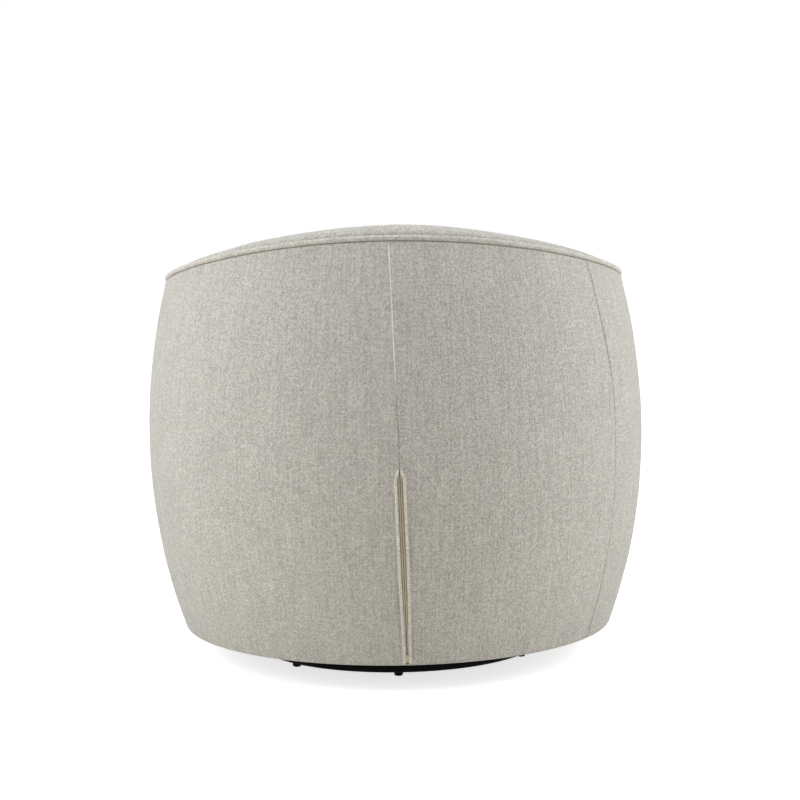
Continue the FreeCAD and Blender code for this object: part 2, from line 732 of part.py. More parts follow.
def wall(outer, hollow, under, front):
    """The upper wall with its crown, cut to the arms' front faces and rounded all along the top."""
    solid = common(cut(outer, hollow), under, block(MINUS_REACH, REACH, f"-({front})", REACH,
                                                    SEAT_BOARD_TOP, DRUM_HIGH), label="sharp_wall")
    doc.recompute()
    return solid


def rounded(solid, radius, wanted, label="rounded"):
    """Rounds the edges for which wanted(edge) is true."""
    fillet = doc.addObject("Part::Fillet", label)
    fillet.Base = solid
    size = value(radius)
    fillet.Edges = [(index, size, size) for index, edge in enumerate(solid.Shape.Edges, start=1) if wanted(edge)]
    doc.recompute()
    return fillet


def points_on(edge, count=5):
    first, last = edge.ParameterRange
    return [edge.valueAt(first + (last - first) * step / (count - 1)) for step in range(count)]


def rolled_wall(outer, hollow, under, rise, front, radius):
    """The wall with its top edges and the arms' front edges rounded."""
    sharp = wall(outer, hollow, under, front)
    centre_z = value(f"rim_low_height + rim_arc + {rise}")
    centre_y = -value("rim_low_forward")
    arc = value("rim_arc")
    front_y = -value(front)
    floor = value(SEAT_BOARD_TOP)

    def on_top(point):
        return abs(math.hypot(point.y - centre_y, point.z - centre_z) - arc) < 0.01

    def wanted(edge):
        points = points_on(edge)
        if all(on_top(point) for point in points):
            return True
        at_front = all(abs(point.y - front_y) < 0.01 for point in points)
        upright = abs(points[0].z - points[-1].z) > 10
        return at_front and upright and min(points[0].z, points[-1].z) < floor + 1

    return rounded(sharp, radius, wanted, "rolled_wall")


def meridian_strip(x_low, x_high, depth_low, depth_high, start, end):
    """A strip along the middle seam: it follows the barrel's lower arc between two angles below the belly."""
    hub = Vector(0, value(LOWER_ARC_CENTRE), value("belly_height"))
    sketch = loose_sketch("strip_profile", Placement(hub, Rotation(Vector(1, 0, 0), -start)))
    draw_rectangle(sketch, x_low, x_high, f"lower_arc - ({depth_high})", f"lower_arc - ({depth_low})")
    strip = doc.addObject("Part::Revolution", "strip")
    strip.Source = sketch
    strip.Base = hub
    strip.Axis = Vector(-1, 0, 0)
    strip.Angle = end - start
    strip.Solid = True
    return strip


def arc_angle(length):
    """The angle that a length takes on the barrel's lower arc."""
    return math.degrees(value(length) / value("lower_arc"))


def angle_down_to(height):
    return math.degrees(math.asin(value(f"(belly_height - ({height})) / lower_arc")))


# The upholstered wall: rail, liner, foams, wadding and covers
def make_wall(barrels, tubs, rims, welt_band, channel, opening):
    behind = block(MINUS_REACH, REACH, f"-{ARM_END}", REACH, SEAT_BOARD_TOP, DRUM_HIGH)
    ahead = block(MINUS_REACH, REACH, MINUS_REACH, f"-{ARM_END}", "deck_height", DRUM_HIGH)
    front_air = block(MINUS_REACH, REACH, MINUS_REACH, f"-{ARM_END}", DECK_PAD_TOP, DRUM_HIGH)

    keep(common(cut(barrels["frame"], tubs["frame"]), cut(rims["rail_top"], rims["rail_bottom"]), behind),
         "top_rail")
    keep(common(cut(tubs["frame"], tubs["liner"]), rims["rail_top"], behind), "inner_liner")

    skirt = layer(f"{HEM_HEIGHT} + cover", DRUM_HIGH)
    wadding = cut(common(cut(barrels["cover"], barrels["wadding"]), rims["rail_top"], skirt),
                  front_air, channel)
    keep(wadding, "outer_wadding")
    board = cut(common(cut(barrels["wadding"], barrels["frame"]), rims["rail_top"], skirt), front_air)
    keep(board, "outer_board")

    skin = rolled_wall(barrels["outside"], tubs["inside"], rims["crown"], "crown", "arm_front", "roll_radius")
    body = rolled_wall(barrels["cover"], tubs["cover"], rims["crown_foam"], "crown - cover", ARM_PAD_FRONT,
                       "roll_radius - cover")
    keep(common(body, cut(tubs["liner"], tubs["cover"]), rims["rail_top"], behind), "inside_foam")
    outside_skin = common(cut(barrels["outside"], barrels["cover"]), rims["line"], behind)
    wrap = cut(skin, body, outside_skin, welt_band)
    keep(cut(wrap, rims["line"]), "top_roll_cover")
    keep(common(wrap, rims["line"], behind), "inside_cover")
    keep(common(wrap, rims["line"], ahead), "arm_front_covers")
    filling = cut(body, welt_band)
    keep(cut(filling, rims["rail_top"]), "top_roll_foam")
    keep(common(filling, rims["rail_top"], ahead), "arm_front_pads")

    covers = cut(common(cut(barrels["outside"], barrels["cover"]), rims["line"], layer(HEM_HEIGHT, DRUM_HIGH)),
                 front_air)
    left_angle, right_angle = value("90 - left_seam_angle"), value("90 + right_seam_angle")
    back_half = block("0", REACH, MINUS_REACH, REACH, "0", DRUM_HIGH)
    other_half = block(MINUS_REACH, "0", MINUS_REACH, REACH, "0", DRUM_HIGH)
    left_half, right_half = placed(back_half, tilted()), placed(other_half, tilted())
    keep(cut(common(covers, sector(left_angle, 135), left_half), opening), "outside_back_left")
    keep(cut(common(covers, sector(45, right_angle), right_half), opening), "outside_back_right")
    sides = block(MINUS_REACH, REACH, f"-{ARM_END}", REACH, "0", DRUM_HIGH)
    keep(common(covers, sector(-90, left_angle), sides), "outside_arm_left")
    keep(common(covers, sector(right_angle, 270), sides), "outside_arm_right")
    keep(common(covers, block(MINUS_REACH, REACH, MINUS_REACH, f"-{ARM_END}", "0", DRUM_HIGH)), "front_cover")

    hem = cut(common(cut(barrels["cover"], barrels["hem"]), layer(HEM_HEIGHT, f"{HEM_HEIGHT} + cover")), opening)
    keep(hem, "hem_fold")
    dust = cut(common(barrels["frame"], layer(f"{FRAME_BOTTOM} - dust_cover", FRAME_BOTTOM)),
               rod(DUST_BORE, f"{FRAME_BOTTOM} - dust_cover", FRAME_BOTTOM))
    keep(dust, "dust_cover")


def make_welt_band(rims, foot):
    """The room of the welt: a band above the rim line that turns down the arms' fronts to the foot."""
    behind_welt = block(MINUS_REACH, REACH, f"-({ARM_END} + welt_width)", REACH, foot, DRUM_HIGH)
    inner = common(rims["line"], block(MINUS_REACH, REACH, f"-{ARM_END}", REACH, "0", DRUM_HIGH))
    zone = cut(common(rims["welt_top"], behind_welt), inner)
    band = common(cut(barrel("-welt_proud"), barrel("welt_depth")), zone, label="welt_band")
    doc.recompute()
    return band


def make_welt(rims):
    """The welt is rounded while it still runs down to the hem, then cut off on the deck."""
    band = make_welt_band(rims, HEM_HEIGHT)

    def outermost(edge):
        return all(abs(math.hypot(point.x, point.y) - barrel_radius(point.z, "-welt_proud")) < 0.01
                   for point in points_on(edge))

    keep(common(rounded(band, "welt_round", outermost), layer("deck_height", DRUM_HIGH)), "rim_welt")


# Webbing, deck pad and deck cover
def make_deck(barrels, tubs):
    across, along = [], []
    radius = f"({SEAT_OPENING} + strap_grip)"
    for step in range(-2, 3):
        place = f"({step} * strap_pitch)"
        half = f"sqrt({radius}^2 - (abs({place}) + strap_width / 2)^2)"
        across.append(block(f"-{half}", half, f"{place} - seat_opening_back - strap_width / 2",
                            f"{place} - seat_opening_back + strap_width / 2",
                            SEAT_BOARD_TOP, f"{SEAT_BOARD_TOP} + strap", "strap"))
        along.append(block(f"{place} - strap_width / 2", f"{place} + strap_width / 2",
                           f"-seat_opening_back - {half}", f"-seat_opening_back + {half}",
                           f"{SEAT_BOARD_TOP} + strap", DECK_PAD_BOTTOM, "strap"))
    group("webbing_across", across)
    group("webbing_along", along)

    plan = fuse(tubs["inside"], block(MINUS_REACH, REACH, MINUS_REACH, f"-{ARM_END}", SEAT_BOARD_TOP, DRUM_HIGH))
    keep(common(barrels["frame"], plan, layer(DECK_PAD_BOTTOM, DECK_PAD_TOP)), "deck_pad")
    keep(common(barrels["outside"], plan, layer(DECK_PAD_TOP, "deck_height")), "deck_cover")


# The zip and its slider
def make_zip():
    last = angle_down_to(f"{HEM_HEIGHT} + cover")
    stop = arc_angle("stop_length")
    gap = arc_angle("slider_gap")
    length = arc_angle("slider_length")
    coil_edge = "(coil_half_slit + coil_width)"
    for side, sign in (("left", 1), ("right", -1)):
        def across(low, high, sign=sign):
            return (low, high) if sign > 0 else (f"-({high})", f"-({low})")

        tape = meridian_strip(*across(coil_edge, "tape_half_width"), TAPE_DEPTH, f"{TAPE_DEPTH} + tape", 0, last)
        coil = meridian_strip(*across("coil_half_slit", coil_edge), COIL_OUTER, COIL_INNER, stop, last - stop)
        for piece, label in ((tape, f"zip_tape_{side}"), (coil, f"zip_coil_{side}")):
            piece.Placement = tilted()
            keep(piece, label)
    stops = [meridian_strip(f"-{coil_edge}", coil_edge, COIL_OUTER, COIL_INNER, start, start + stop)
             for start in (0, last - stop)]
    for piece in stops:
        piece.Placement = tilted()
    group("zip_stops", stops)

    low_end = last - stop - gap
    plates = [meridian_strip(f"-{SLIDER_HALF_WIDTH}", SLIDER_HALF_WIDTH, outer, inner, low_end - length, low_end)
              for outer, inner in ((f"{COIL_OUTER} - slider_gap - slider_plate", f"{COIL_OUTER} - slider_gap"),
                                   (f"{COIL_INNER} + slider_gap", SLIDER_INNER))]
    neck = meridian_strip(f"-{NECK_HALF_WIDTH}", NECK_HALF_WIDTH, f"{COIL_OUTER} - slider_gap",
                          f"{COIL_INNER} + slider_gap", low_end - length, low_end)
    slider = fuse(*plates, neck)
    slider.Placement = tilted()
    keep(slider, "zip_slider")


# The loose seat cushion: a T in plan, with a crown
def cushion_prism(inset):
    sketch = loose_sketch("cushion_outline")
    wide = f"({CUSHION_HALF_WIDTH} - ({inset}))"
    middle = f"({CUSHION_BACK} - {CUSHION_HALF_WIDTH})"
    ear = f"(arm_front + cushion_ear_gap + ({inset}))"
    front = f"({CUSHION_FRONT} - ({inset}))"
    ear_end = f"sqrt({front}^2 - {ear}^2)"
    radius, centre_y = value(wide), value(middle)
    front_radius, ear_y, ear_x = value(front), -value(ear), value(ear_end)
    back_line = Part.Circle(Vector(0, centre_y, 0), Vector(0, 0, 1), radius)
    front_line = Part.Circle(Vector(), Vector(0, 0, 1), front_radius)
    far_ear, near_ear = Vector(-ear_x, ear_y, 0), Vector(ear_x, ear_y, 0)
    right = sketch.addGeometry(Part.ArcOfCircle(back_line, 0, math.pi / 2))
    left = sketch.addGeometry(Part.ArcOfCircle(back_line, math.pi / 2, math.pi))
    left_side = sketch.addGeometry(Part.LineSegment(Vector(-radius, centre_y, 0), Vector(-radius, ear_y, 0)))
    left_ear = sketch.addGeometry(Part.LineSegment(Vector(-radius, ear_y, 0), far_ear))
    nose = sketch.addGeometry(
        Part.ArcOfCircle(front_line, front_line.parameter(far_ear), front_line.parameter(near_ear)))
    right_ear = sketch.addGeometry(Part.LineSegment(near_ear, Vector(radius, ear_y, 0)))
    right_side = sketch.addGeometry(Part.LineSegment(Vector(radius, ear_y, 0), Vector(radius, centre_y, 0)))
    loop = (right, left, left_side, left_ear, nose, right_ear, right_side, right)
    for first, second in zip(loop, loop[1:]):
        sketch.addConstraint(Sketcher.Constraint("Coincident", first, 2, second, 1))
    pin_point(sketch, right, 3, "0", middle)
    pin_point(sketch, right, 1, wide, middle)
    pin_point(sketch, right, 2, x="0")
    pin_point(sketch, left, 3, "0", middle)
    pin_point(sketch, left, 2, y=middle)
    pin_point(sketch, left_ear, 1, f"-{wide}", f"-{ear}")
    pin_point(sketch, nose, 3, "0", "0")
    pin_point(sketch, nose, 1, f"-{ear_end}", f"-{ear}")
    pin_point(sketch, nose, 2, y=f"-{ear}")
    pin_point(sketch, right_ear, 2, wide, f"-{ear}")
    bind(sketch, "Placement.Base.z", CUSHION_BOTTOM)
    prism = doc.addObject("Part::Extrusion", "cushion_prism")
    prism.Base = sketch
    prism.DirMode = "Normal"
    prism.Solid = True
    bind(prism, "LengthFwd", "2 * cushion_peak")
    doc.recompute()

    def convex(edge):
        return is_upright(edge) and edge.CenterOfMass.y < ear_y + 1 and abs(edge.CenterOfMass.x) > radius + 1

    def concave(edge):
        return is_upright(edge) and edge.CenterOfMass.y < ear_y + 1 and abs(abs(edge.CenterOfMass.x) - radius) < 1

    ears = rounded(prism, f"cushion_corner - ({inset})", convex)
    return rounded(ears, f"cushion_notch + ({inset})", concave)


def is_upright(edge):
    return edge.BoundBox.ZLength > 1 and edge.BoundBox.XLength < 0.01 and edge.BoundBox.YLength < 0.01


def crown(drop):
    """Everything under the cushion's crown, which is moved down by the drop."""
    ball = doc.addObject("Part::Sphere", "crown")
    bind(ball, "Radius", f"cushion_crown_arc - ({drop})")
    bind(ball, "Placement.Base.y", "-cushion_crown_centre")
    bind(ball, "Placement.Base.z", f"{CUSHION_BOTTOM} + cushion_peak - cushion_crown_arc")
    return ball


def make_cushion():
    outside, inside = cushion_prism("0"), cushion_prism("cover")
    top, foam_top, welt_under = crown("0"), crown("cover"), crown("cushion_welt")
    body = common(outside, top)
    core = common(inside, foam_top, layer(f"{CUSHION_BOTTOM} + cover", DRUM_HIGH))
    edge_band = cut(cushion_prism("-cushion_welt_proud"), cushion_prism("cushion_welt_depth"))
    top_welt = cut(common(edge_band, top), welt_under)
    bottom_welt = common(edge_band, layer(CUSHION_BOTTOM, f"{CUSHION_BOTTOM} + cushion_welt"))
    keep(cut(body, core, top_welt, bottom_welt), "cushion_cover")
    keep(cut(core, top_welt, bottom_welt), "cushion_core")
    keep(top_welt, "cushion_welt_top")
    keep(bottom_welt, "cushion_welt_bottom")


def export():
    """Checks every object, then writes each sub-part's own file."""
    doc.recompute()
    for thing in doc.Objects:
        if "Invalid" in thing.State or "Error" in thing.State:
            raise RuntimeError(f"{thing.Label} failed: {thing.State}")
    os.makedirs("parts", exist_ok=True)
    for thing in subparts:
        shape = thing.Shape
        if shape.isNull() or not shape.isValid() or not shape.Solids:
            raise RuntimeError(f"{thing.Label} has no valid solid")
    for thing in subparts:
        thing.Shape.exportStep(f"parts/{thing.Label}.step")
    print(len(subparts), "sub-parts")


barrels = {"outside": barrel("0"), "cover": barrel("cover"), "wadding": barrel(WADDING_INSET),
           "frame": barrel(FRAME_INSET), "hem": barrel("cover + hem_fold_width")}
tubs = {"inside": tub("0"), "cover": tub("cover"), "liner": tub(LINER_INSET), "frame": tub(TUB_FRAME_INSET)}
rims = {"line": below_rim("0"), "crown": below_rim("crown"), "crown_foam": below_rim("crown - cover"),
        "welt_top": below_rim("welt_width"), "rail_top": below_rim("-rail_drop"),
        "rail_bottom": below_rim("-(rail_drop + rail_board)")}
make_base()
make_bearing()
make_frame(barrels, tubs, rims)
below_hem = angle_down_to(f"{HEM_HEIGHT} - cover")
slider_depth = f"({SLIDER_INNER} + slider_gap)"
channel = meridian_strip("-(tape_half_width + slider_gap)", "tape_half_width + slider_gap", "0", slider_depth,
                         -1, below_hem)
opening = meridian_strip("-zip_half_gap", "zip_half_gap", "-cover", slider_depth, 0, below_hem)
for void in (channel, opening):
    void.Placement = tilted()
welt_band = make_welt_band(rims, "deck_height")
make_wall(barrels, tubs, rims, welt_band, channel, opening)
make_welt(rims)
make_deck(barrels, tubs)
make_zip()
make_cushion()
export()
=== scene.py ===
"""The looks of the swivel barrel chair: woven covers, welts, zip, loose cushion and black steel base.

Metres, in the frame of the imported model: the floor at z 0, the swivel axis on Z, the back at +Y.
Azimuths are degrees from the middle of the back towards +X.
"""
import json
import math

import bmesh
import bpy
import numpy as np
from mathutils import Matrix, Vector, noise


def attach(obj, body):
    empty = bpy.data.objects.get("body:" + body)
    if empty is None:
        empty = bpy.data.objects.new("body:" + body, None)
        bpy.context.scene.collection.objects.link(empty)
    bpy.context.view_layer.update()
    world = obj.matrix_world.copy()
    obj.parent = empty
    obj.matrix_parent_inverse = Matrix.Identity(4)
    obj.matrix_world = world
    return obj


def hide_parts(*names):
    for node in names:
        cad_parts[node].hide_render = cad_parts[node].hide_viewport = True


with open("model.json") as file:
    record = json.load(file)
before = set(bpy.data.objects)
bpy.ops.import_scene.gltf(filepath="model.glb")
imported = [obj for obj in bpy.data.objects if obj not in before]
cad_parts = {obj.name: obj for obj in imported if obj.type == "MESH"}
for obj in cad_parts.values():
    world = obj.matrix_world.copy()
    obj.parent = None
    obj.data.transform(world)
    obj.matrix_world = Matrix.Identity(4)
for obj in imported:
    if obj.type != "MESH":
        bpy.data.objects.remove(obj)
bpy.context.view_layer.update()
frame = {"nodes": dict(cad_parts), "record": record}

MM = 0.001

# The barrel: two arcs that meet at its widest
BARREL_RADIUS = 405 * MM
BELLY_HEIGHT = 350 * MM
LOWER_ARC = 900 * MM
UPPER_ARC = 1040 * MM
HEM_HEIGHT = 46 * MM

# The rim line, seen from the side, and the crown of the roll above it
RIM_ARC = 2300 * MM
RIM_LOW_FORWARD = 290 * MM
RIM_LOW_HEIGHT = 589 * MM
RIM_GUESS = 640 * MM
ARM_CROWN = 12 * MM
BACK_CROWN = 23 * MM
CROWN_BACK = 350 * MM
CROWN_POWER = 2.4

# The hollow of the tub at two heights
TUB_LOW = 278 * MM
TUB_HIGH = 740 * MM
SEAT_HALF_WIDTH = 245 * MM
RIM_HALF_WIDTH = 250 * MM
SEAT_BACK = 205 * MM
RIM_BACK = 262 * MM
ARM_END = 170 * MM
ARM_FRONT = 187 * MM
DECK_HEIGHT = 312 * MM
DECK_ROUND = 8 * MM
INSIDE_BULGE = 7 * MM

# The roll's section, and the arm fronts that close it
ROLL_FOOT = 5 * MM
ROLL_INNER_DROP = 14 * MM
ROLL_SQUARENESS = 2.7
ARM_ROUND = 20 * MM
ARM_SPINE_DROP = 48 * MM
ARM_SEAM = 1.3 * MM
ARM_SEAM_REACH = 2 * MM

# The outside covers: their finest and coarsest mesh, the depth and reach of their tucks, what the cut adds
PANEL_STEPS = (0.7 * MM, 8 * MM)
RIM_TUCK = (3.4 * MM, 3.2 * MM)
HEM_TUCK = (2.2 * MM, 2.2 * MM)
COVER_SINK = 2.6 * MM

# Seams, as azimuths, and the lean of the middle one
LEFT_SEAM = 100
RIGHT_SEAM = -57.4
RIGHT_SEAM_TURN = 2.3
RIGHT_SEAM_RISE = (420 * MM, 640 * MM)
MIDDLE_SEAM_TURN = -1.5
MIDDLE_SEAM_TILT = math.radians(1.78)
MIDDLE_SEAM_PIVOT = 198 * MM
ZIP_TOP = 350 * MM
ZIP_HALF_GAP = 4.1 * MM
ZIP_FOOT_GAP = 2 * MM
ZIP_WIDENS = (48 * MM, 210 * MM)
LIP_RADIUS = 2.3 * MM
LIP_LIFT = 0.7 * MM
RIDGE_FADES = (530 * MM, 430 * MM)
STITCH_PITCH = 4.4 * MM
STITCH_LENGTH = 2.7 * MM
STITCH_FROM_SLIT = 8 * MM
STITCH_LIFT = 0.15 * MM
WELT_RADIUS = 4.2 * MM
WELT_SINK = 1.5 * MM

# The loose cushion
CUSHION_BOTTOM = 312.3 * MM
CUSHION_HALF_WIDTH = 238 * MM
CUSHION_BACK = 200 * MM
CUSHION_FRONT = 396 * MM
CUSHION_EAR = 190 * MM
CUSHION_CORNER = 24 * MM
CUSHION_NOTCH = 8 * MM
CUSHION_EDGE = 124 * MM
CUSHION_PEAK = 150 * MM
CUSHION_INSET = 2 * MM
CUSHION_SEAM = 2 * MM
CUSHION_SLOPE = 200 * MM
CUSHION_WELT = 3 * MM


# Node materials
class Nodes:
    """The node tree of a new material or of the world, with short ways to add and join nodes."""

    def __init__(self, name, world=None):
        self.material = world or bpy.data.materials.new(name)
        self.material.use_nodes = True
        self.tree = self.material.node_tree
        self.shader = self.tree.nodes["Background" if world else "Principled BSDF"]

    def add(self, kind, inputs=(), **settings):
        node = self.tree.nodes.new(kind)
        for key, setting in settings.items():
            setattr(node, key, setting)
        for key, source in dict(inputs).items():
            self.feed(node, key, source)
        return node

    def feed(self, node, key, source):
        if isinstance(source, bpy.types.NodeSocket):
            self.tree.links.new(source, node.inputs[key])
        else:
            node.inputs[key].default_value = source

    def math(self, operation, first, second=0.0, third=0.0):
        node = self.add("ShaderNodeMath", {0: first, 1: second, 2: third}, operation=operation)
        return node.outputs[0]

    def coordinates(self, kind):
        return self.add("ShaderNodeTexCoord").outputs[kind]

    def scaled(self, vector, scale, turn=0.0):
        node = self.add("ShaderNodeMapping", {"Vector": vector, "Scale": scale, "Rotation": (0, 0, turn)})
        return node.outputs[0]

    def noise(self, vector, scale, detail=2.0, roughness=0.5):
        node = self.add("ShaderNodeTexNoise",
                        {"Vector": vector, "Scale": scale, "Detail": detail, "Roughness": roughness})
        return node.outputs["Fac"]

    def ramp(self, factor, *stops):
        node = self.add("ShaderNodeValToRGB", {"Fac": factor})
        band = node.color_ramp
        while len(band.elements) < len(stops):
            band.elements.new(0.5)
        for element, (place, colour) in zip(band.elements, stops):
            element.position = place
            element.color = (*colour, 1)
        return node.outputs["Color"]

    def mixed(self, factor, first, second, blend="MIX"):
        node = self.add("ShaderNodeMix", data_type="RGBA", blend_type=blend)
        self.feed(node, 0, factor)
        self.feed(node, 6, first)
        self.feed(node, 7, second)
        return node.outputs[2]

    def bump(self, height, strength, distance):
        inputs = {"Height": height, "Strength": strength, "Distance": distance}
        return self.add("ShaderNodeBump", inputs).outputs[0]

    def background_rays(self):
        """1 for the rays that show the background: straight to the camera, and through gloss and glass."""
        path = self.add("ShaderNodeLightPath")
        seen = self.math("MAXIMUM", path.outputs["Is Camera Ray"], path.outputs["Is Glossy Ray"])
        return self.math("MAXIMUM", seen, path.outputs["Is Transmission Ray"])

    def finish(self, **sockets):
        for key, source in sockets.items():
            self.feed(self.shader, key.replace("_", " ").title().replace("Ior", "IOR"), source)
        return self.material


def woven(name, light, shade, pitch=2 * MM, turn=0.0, relief=1.6 * MM):
    """A pebbled plain weave of uneven yarns, on the map in metres, with painted shade in the gaps between the
    pebbles.
    """
    cloth = Nodes(name)
    plane = cloth.scaled(cloth.add("ShaderNodeUVMap", uv_map="metres").outputs[0], (1, 1, 1), turn)
    squashed = cloth.scaled(plane, (1, 0.86, 1))
    cells = cloth.add("ShaderNodeTexVoronoi", {"Vector": squashed, "Scale": 1 / pitch, "Randomness": 0.6},
                      voronoi_dimensions="2D")
    yarn = cloth.add("ShaderNodeSeparateColor", {0: cells.outputs["Color"]}).outputs[0]
    # The domes shape the bump, and in the colour they paint shade into the gaps between the pebbles
    pebble_dome_and_gap_shade = cloth.math("MULTIPLY_ADD", cells.outputs["Distance"], -0.54, 0.4)
    pebbles = cloth.math("MULTIPLY_ADD", yarn, 0.6, pebble_dome_and_gap_shade)
    fleck = cloth.math("SUBTRACT", cloth.noise(plane, 700.0, 2.0, 0.6), 0.5)
    grain = cloth.math("MULTIPLY_ADD", fleck, 0.35, pebbles)
    warp = cloth.noise(cloth.scaled(plane, (300, 10, 1)), 1.0, 2.0, 0.6)
    weft = cloth.noise(cloth.scaled(plane, (40, 330, 1)), 1.0, 2.0, 0.6)
    clouds = cloth.noise(plane, 9.0, 2.0)
    # The tone ramp goes towards the shade colour for darker yarns and for the painted gap shade
    tone = cloth.ramp(grain, (0.05, shade), (0.95, light))
    for lines, share, low in ((warp, 0.5, 0.76), (weft, 0.42, 0.8), (clouds, 0.3, 0.94)):
        shading = cloth.ramp(lines, (0.38, (low, low, low)), (0.6, (1, 1, 1)))
        tone = cloth.mixed(share, tone, shading, "MULTIPLY")
    return cloth.finish(base_color=tone, roughness=0.92, specular_ior_level=0.15, sheen_weight=0.12,
                        sheen_roughness=0.5, normal=cloth.bump(grain, 0.8, relief))


def grainy(name, colour, other, scale, roughness=0.6, relief=0.2 * MM, specular=0.5):
    """A finish with fine, uneven grain in object space."""
    finish = Nodes(name)
    place = finish.coordinates("Object")
    fine = finish.noise(place, scale, 4.0, 0.6)
    broad = finish.noise(place, scale / 14, 2.0)
    colours = finish.ramp(finish.math("MULTIPLY_ADD", broad, 0.5, finish.math("MULTIPLY", fine, 0.5)),
                          (0.32, colour), (0.68, other))
    rough = finish.math("MULTIPLY_ADD", finish.math("SUBTRACT", fine, 0.5), 0.25, roughness)
    return finish.finish(base_color=colours, roughness=rough, specular_ior_level=specular,
                         normal=finish.bump(fine, 0.4, relief))


def timber(name, light, dark, across=(6, 60, 60)):
    """Sawn wood, with its grain along one axis."""
    wood = Nodes(name)
    place = wood.scaled(wood.coordinates("Object"), across)
    rings = wood.noise(place, 1.6, 5.0, 0.65)
    pores = wood.noise(wood.scaled(place, (1, 9, 9)), 2.0, 3.0)
    colour = wood.mixed(0.35, wood.ramp(rings, (0.34, dark), (0.6, light)),
                        wood.ramp(pores, (0.35, dark), (0.6, light)))
    return wood.finish(base_color=colour, roughness=0.7, normal=wood.bump(rings, 0.35, 0.3 * MM))


def strapping(name, colour, stripe, ribbing=2600.0):
    """Woven belt with its ribs across, on object coordinates; the ribbing is in radians per metre."""
    belt = Nodes(name)
    axes = belt.add("ShaderNodeSeparateXYZ", {0: belt.coordinates("Object")})
    ribs = belt.math("SINE", belt.math("MULTIPLY", axes.outputs[0], ribbing))
    bands = belt.math("SINE", belt.math("MULTIPLY", axes.outputs[1], ribbing))
    weave = belt.math("MULTIPLY_ADD", belt.math("MULTIPLY", ribs, bands), 0.5, 0.5)
    return belt.finish(base_color=belt.ramp(weave, (0.2, colour), (0.85, stripe)), roughness=0.85,
                       normal=belt.bump(weave, 0.5, 0.4 * MM))


def brushed(name, colour, roughness, marks):
    """Bare or plated metal with fine marks."""
    metal = Nodes(name)
    place = metal.scaled(metal.coordinates("Object"), marks)
    lines = metal.noise(place, 1.0, 4.0, 0.6)
    rough = metal.math("MULTIPLY_ADD", metal.math("SUBTRACT", lines, 0.5), 0.3, roughness)
    streaks = metal.ramp(lines, (0.35, (0.35, 0.34, 0.33)), (0.65, (0.95, 0.95, 0.95)))
    tint = metal.mixed(0.25, (*colour, 1), streaks, "MULTIPLY")
    return metal.finish(base_color=tint, roughness=rough, metallic=1.0,
                        normal=metal.bump(lines, 0.15, 0.1 * MM))


cover = woven("oatmeal_weave", (0.70, 0.66, 0.59), (0.38, 0.355, 0.312))
bias_cover = woven("oatmeal_bias", (0.72, 0.675, 0.60), (0.42, 0.385, 0.335), turn=math.radians(45),
                   relief=0.6 * MM)
# Lighter copy of the oatmeal cloth for the zip's lips: painted highlight on the folds
lip_cover_painted_highlight = woven("oatmeal_fold_painted_highlight", (0.82, 0.77, 0.69), (0.52, 0.48, 0.41), relief=0.9 * MM)
# Much lighter copy of the oatmeal cloth for the middle seam's ridge: painted highlight along the fold
seam_cover_painted_highlight = woven("oatmeal_edge_painted_highlight", (0.90, 0.87, 0.80), (0.66, 0.63, 0.57), relief=0.4 * MM)
deck_cover = woven("deck_weave", (0.60, 0.565, 0.505), (0.42, 0.395, 0.35), 1.6 * MM, relief=0.4 * MM)
thread = grainy("cover_thread", (0.20, 0.165, 0.12), (0.32, 0.27, 0.20), 2200)
FINISHES = {
    "foam": grainy("cream_foam", (0.72, 0.66, 0.45), (0.86, 0.80, 0.60), 500, 0.95),
    "wadding": grainy("white_wadding", (0.80, 0.80, 0.78), (0.95, 0.95, 0.93), 180, 1.0, relief=1.5 * MM),
    "lining": grainy("grey_lining", (0.42, 0.40, 0.37), (0.60, 0.58, 0.54), 900, 0.95),
    "black_lining": grainy("black_lining", (0.012, 0.012, 0.013), (0.035, 0.035, 0.036), 1400, 0.85),
    "board": grainy("brown_board", (0.30, 0.20, 0.11), (0.46, 0.33, 0.20), 700, 0.85),
    "plywood": timber("birch_plywood", (0.70, 0.52, 0.32), (0.50, 0.34, 0.18)),
    "frame_wood": timber("pine_frame", (0.72, 0.52, 0.29), (0.50, 0.31, 0.15), (4, 40, 40)),
    "webbing": strapping("seat_webbing", (0.04, 0.04, 0.045), (0.16, 0.16, 0.17)),
    "black_steel": grainy("powder_black", (0.003, 0.003, 0.0032), (0.007, 0.007, 0.0075), 1600, 0.6,
                          0.06 * MM, 0.06),
    "zinc_steel": brushed("zinc_plate", (0.72, 0.72, 0.70), 0.38, (300, 300, 300)),
    "bearing_steel": brushed("bearing_steel", (0.70, 0.70, 0.71), 0.16, (90, 90, 90)),
    "glide_plastic": grainy("black_nylon", (0.004, 0.004, 0.004), (0.009, 0.009, 0.009), 1900, 0.6,
                            specular=0.08),
    "zip_tape": grainy("tan_tape", (0.42, 0.35, 0.20), (0.51, 0.43, 0.27), 1500, 0.9),
    "zip_coil": grainy("tan_coil", (0.60, 0.52, 0.35), (0.72, 0.64, 0.46), 1500, 0.5),
    "zip_metal": grainy("painted_slider", (0.46, 0.38, 0.23), (0.54, 0.46, 0.29), 1800, 0.4, 0.05 * MM),
    "upholstery": cover,
    "welt_cord": bias_cover,
}


def finish_cad_nodes():
    """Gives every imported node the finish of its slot."""
    for subpart in frame["record"]["subparts"]:
        node = frame["nodes"][subpart["node"]]
        finish = FINISHES[subpart["material_slot"]]
        if not node.material_slots:
            node.data.materials.append(finish)
        for place in node.material_slots:
            place.material = finish


# Forms
def barrel_radius(height):
    """The radius of the barrel at a height."""
    height = np.asarray(height, float)
    arc = np.where(height < BELLY_HEIGHT, LOWER_ARC, UPPER_ARC)
    return BARREL_RADIUS - arc + np.sqrt(arc ** 2 - (height - BELLY_HEIGHT) ** 2)


